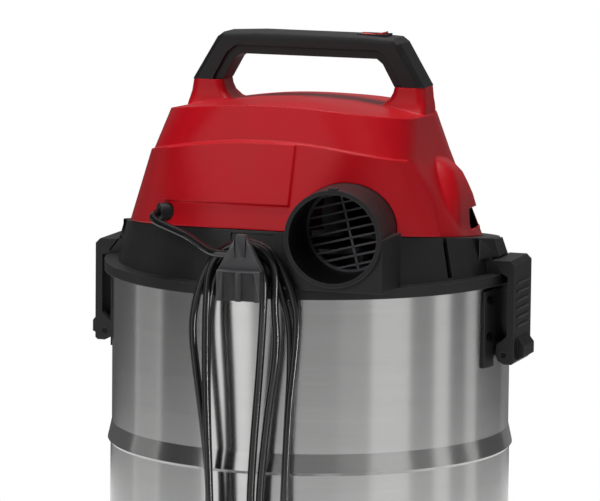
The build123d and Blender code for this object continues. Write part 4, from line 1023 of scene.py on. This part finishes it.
class SHOPVAC_OT_hook(bpy.types.Operator):
    """Cord hook and the gland that the cord comes out of"""

    bl_idname = "shopvac.hook"
    bl_label = "Hook and gland"

    def execute(self, context):
        dress(black_plastic(context), "cord_gland")
        grey = scaled(context.scene.shop_vac_finish.black, 5)
        plastic = moulded("hook_plastic", grey, 0.45, grain=800, depth=0.35, edge=0.0012, wear=2.5)
        shape = cad_copy("cord_hook")
        for vert in shape.verts:
            if vert.co.y > box_start:
                vert.co.x = box_middles[1] + (vert.co.x - box_middles[0]) * box_width
                vert.co.z += box_rises[0] if vert.co.z < box_change else box_rises[1]
        stand_in(shape, "cord_hook", plastic, "head")
        return {"FINISHED"}


class SHOPVAC_OT_motor(bpy.types.Operator):
    """Filter, float, fan and motor inside"""

    bl_idname = "shopvac.motor"
    bl_label = "Filter and motor"

    def execute(self, context):
        dress(black_plastic(context), "filter_cage", "filter_retainer", "motor_cap")
        paper = moulded("pleated_paper", (0.78, 0.75, 0.68), 0.8, grain=450, depth=0.6, wear=1.1)
        dress(paper, "filter_element")
        dress(moulded("float_white", (0.74, 0.74, 0.72), 0.4, grain=900, depth=0.15, wear=1.05), "float")
        cast = moulded(
            "cast_aluminium", (0.68, 0.69, 0.70), 0.38, metallic=1.0, grain=650, depth=0.3, wear=1.15)
        dress(cast, "fan_housing", "impeller")
        sheets = moulded(
            "sheet_stack", (0.28, 0.28, 0.29), 0.4, metallic=1.0, grain=1600, depth=0.35, vary=0.25)
        dress(sheets, "motor_rotor", "motor_stator")
        dress(zinc_plate(), "motor_bearings")
        dress(soft_rubber(), "motor_mount")
        dress(moulded("carbon", (0.02, 0.02, 0.021), 0.55, grain=1500, depth=0.4, vary=0.3), "carbon_brushes")
        return {"FINISHED"}


# The cord's route in millimetres: out of the gland to the hook, then its loops, then down to the plug
lead_route = [
    (80, 130, 464), (86.3, 134.9, 463.9), (88.3, 144, 462), (83.5, 151.5, 458.8), (68.6, 156.5, 454.6),
    (52, 163, 450.2), (40, 173.5, 446.6), (29.5, 184, 443.8), (20, 190.6, 441.5), (7.5, 191.6, 441),
]
first_loop = [
    (-10, 190.8, 441.4), (-23, 190.8, 428.4), (-22.7, 190.4, 405), (-20.3, 187.6, 372), (-17.2, 185.2, 335),
    (-13.5, 184.6, 290), (-10.9, 184.6, 245), (-11.4, 184.4, 195), (-14.8, 188.6, 150), (-18, 190, 112),
    (-18, 190, 91), (-5.7, 190, 78.7), (11.7, 190, 78.7), (24, 190, 91), (24, 190, 112), (22.4, 190.2, 152),
    (20.6, 190.4, 200), (20.9, 190.8, 240), (22.8, 190.8, 280), (25, 190.4, 325), (27, 187, 370),
    (27.6, 183.4, 405),
]
second_loop = [
    (25, 183.2, 432), (12, 183.2, 446), (-6, 183.2, 449.5), (-22, 183.2, 445), (-30.5, 183.2, 428),
    (-29, 183.2, 402), (-31.7, 183, 375), (-29.5, 182.4, 348), (-25.7, 181.8, 325), (-21.3, 181.4, 288),
    (-17.8, 181.4, 250), (-17.3, 181.6, 205), (-19.2, 182.4, 150), (-21, 183.2, 105), (-21, 183.2, 74.7),
    (-6.5, 183.2, 60.2), (14, 183.2, 60.2), (28.5, 183.2, 74.7), (28.5, 183.2, 105), (27.5, 183.6, 150),
    (25.5, 183.6, 200), (23.6, 183.4, 240), (25.5, 183.2, 285), (27.2, 182.2, 325), (28.8, 178, 368),
    (28.6, 175.6, 402),
]
third_loop = [
    (24, 175.6, 423), (12.5, 175.6, 437), (-4, 175.6, 442.4), (-19.5, 175.6, 438.5), (-28, 175.6, 424),
    (-32, 175.6, 408), (-40, 175.2, 388), (-41, 175.2, 350), (-39, 175.2, 310), (-36.4, 175.4, 248),
    (-35, 175.6, 180), (-33.5, 175.6, 120), (-28, 175.6, 78), (2, 175.6, 64), (31, 175.6, 78),
    (36, 175.6, 110), (33, 175.6, 150), (28.4, 175.4, 195), (25.8, 175.2, 240), (31, 175.4, 290),
    (37.6, 175.6, 337), (43, 175.6, 378), (38, 175.6, 408),
]
tail_route = [
    (29.5, 175.6, 431), (13.5, 175.6, 446), (-6, 175.6, 451), (-24.5, 175.6, 443.6), (-36, 176, 425),
    (-44, 177.5, 406), (-48, 180, 388), (-45.5, 182.4, 350), (-42.5, 183.2, 322), (-39, 183, 245),
    (-42.5, 180.5, 205), (-52, 181, 180), (-59.5, 182, 158), (-60, 182, 136),
]


class SHOPVAC_OT_cord(bpy.types.Operator):
    """Mains cord hanging in loops on the hook, and its plug"""

    bl_idname = "shopvac.cord"
    bl_label = "Cord"

    def execute(self, context):
        settings = context.scene.shop_vac_cord
        route = [*lead_route, *first_loop, *second_loop, *third_loop, *tail_route]
        curve = bpy.data.curves.new("mains_cord", "CURVE")
        curve.dimensions = "3D"
        curve.bevel_depth = settings.diameter / 2
        curve.bevel_resolution = 5
        curve.use_fill_caps = True
        curve.resolution_u = 8
        spline = curve.splines.new("NURBS")
        spline.points.add(len(route) - 1)
        for point, place in zip(spline.points, route):
            point.co = (*(value / 1000 for value in place), 1)
        spline.order_u = 3
        spline.use_endpoint_u = True
        cord = link(bpy.data.objects.new("mains_cord", curve))
        bpy.data.collections["cord_lit"].objects.link(cord)
        sheath = moulded(
            "cord_sheath", (0.006, 0.006, 0.0065), 0.17, grain=1400, depth=0.03, edge=0.0, vary=0.15,
            shine=0.7)
        curve.materials.append(sheath)
        dress(sheath, "plug")
        brass = moulded("pin_brass", (0.62, 0.46, 0.2), 0.28, metallic=1.0, grain=800, depth=0.1, edge=0.0006)
        dress(brass, "plug_pins")
        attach(cord, "head")
        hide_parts("cord_lead", "cord_hank", "cord_tail")
        return {"FINISHED"}


groups = (ShopVacCamera, ShopVacStudio, ShopVacFinish, ShopVacCord)
operators = (
    SHOPVAC_OT_stage, SHOPVAC_OT_drum, SHOPVAC_OT_base, SHOPVAC_OT_inlet, SHOPVAC_OT_latches,
    SHOPVAC_OT_collar, SHOPVAC_OT_cover, SHOPVAC_OT_handle, SHOPVAC_OT_outlet, SHOPVAC_OT_hook,
    SHOPVAC_OT_motor, SHOPVAC_OT_cord,
)


class SHOPVAC_PT_panel(bpy.types.Panel):
    bl_label = "Shop vacuum"
    bl_space_type = "VIEW_3D"
    bl_region_type = "UI"
    bl_category = "Shop vacuum"

    def draw(self, context):
        for operator in operators:
            self.layout.operator(operator.bl_idname)


def register():
    for item in (*groups, *operators, SHOPVAC_PT_panel):
        bpy.utils.register_class(item)
    bpy.types.Scene.shop_vac_camera = bpy.props.PointerProperty(type=ShopVacCamera)
    bpy.types.Scene.shop_vac_studio = bpy.props.PointerProperty(type=ShopVacStudio)
    bpy.types.Scene.shop_vac_finish = bpy.props.PointerProperty(type=ShopVacFinish)
    bpy.types.Scene.shop_vac_cord = bpy.props.PointerProperty(type=ShopVacCord)


def unregister():
    del bpy.types.Scene.shop_vac_cord
    del bpy.types.Scene.shop_vac_finish
    del bpy.types.Scene.shop_vac_studio
    del bpy.types.Scene.shop_vac_camera
    for item in reversed((*groups, *operators, SHOPVAC_PT_panel)):
        bpy.utils.unregister_class(item)


def main():
    register()
    for operator in operators:
        getattr(bpy.ops.shopvac, operator.bl_idname.split(".")[1])()


if __name__ == "__main__":
    main()
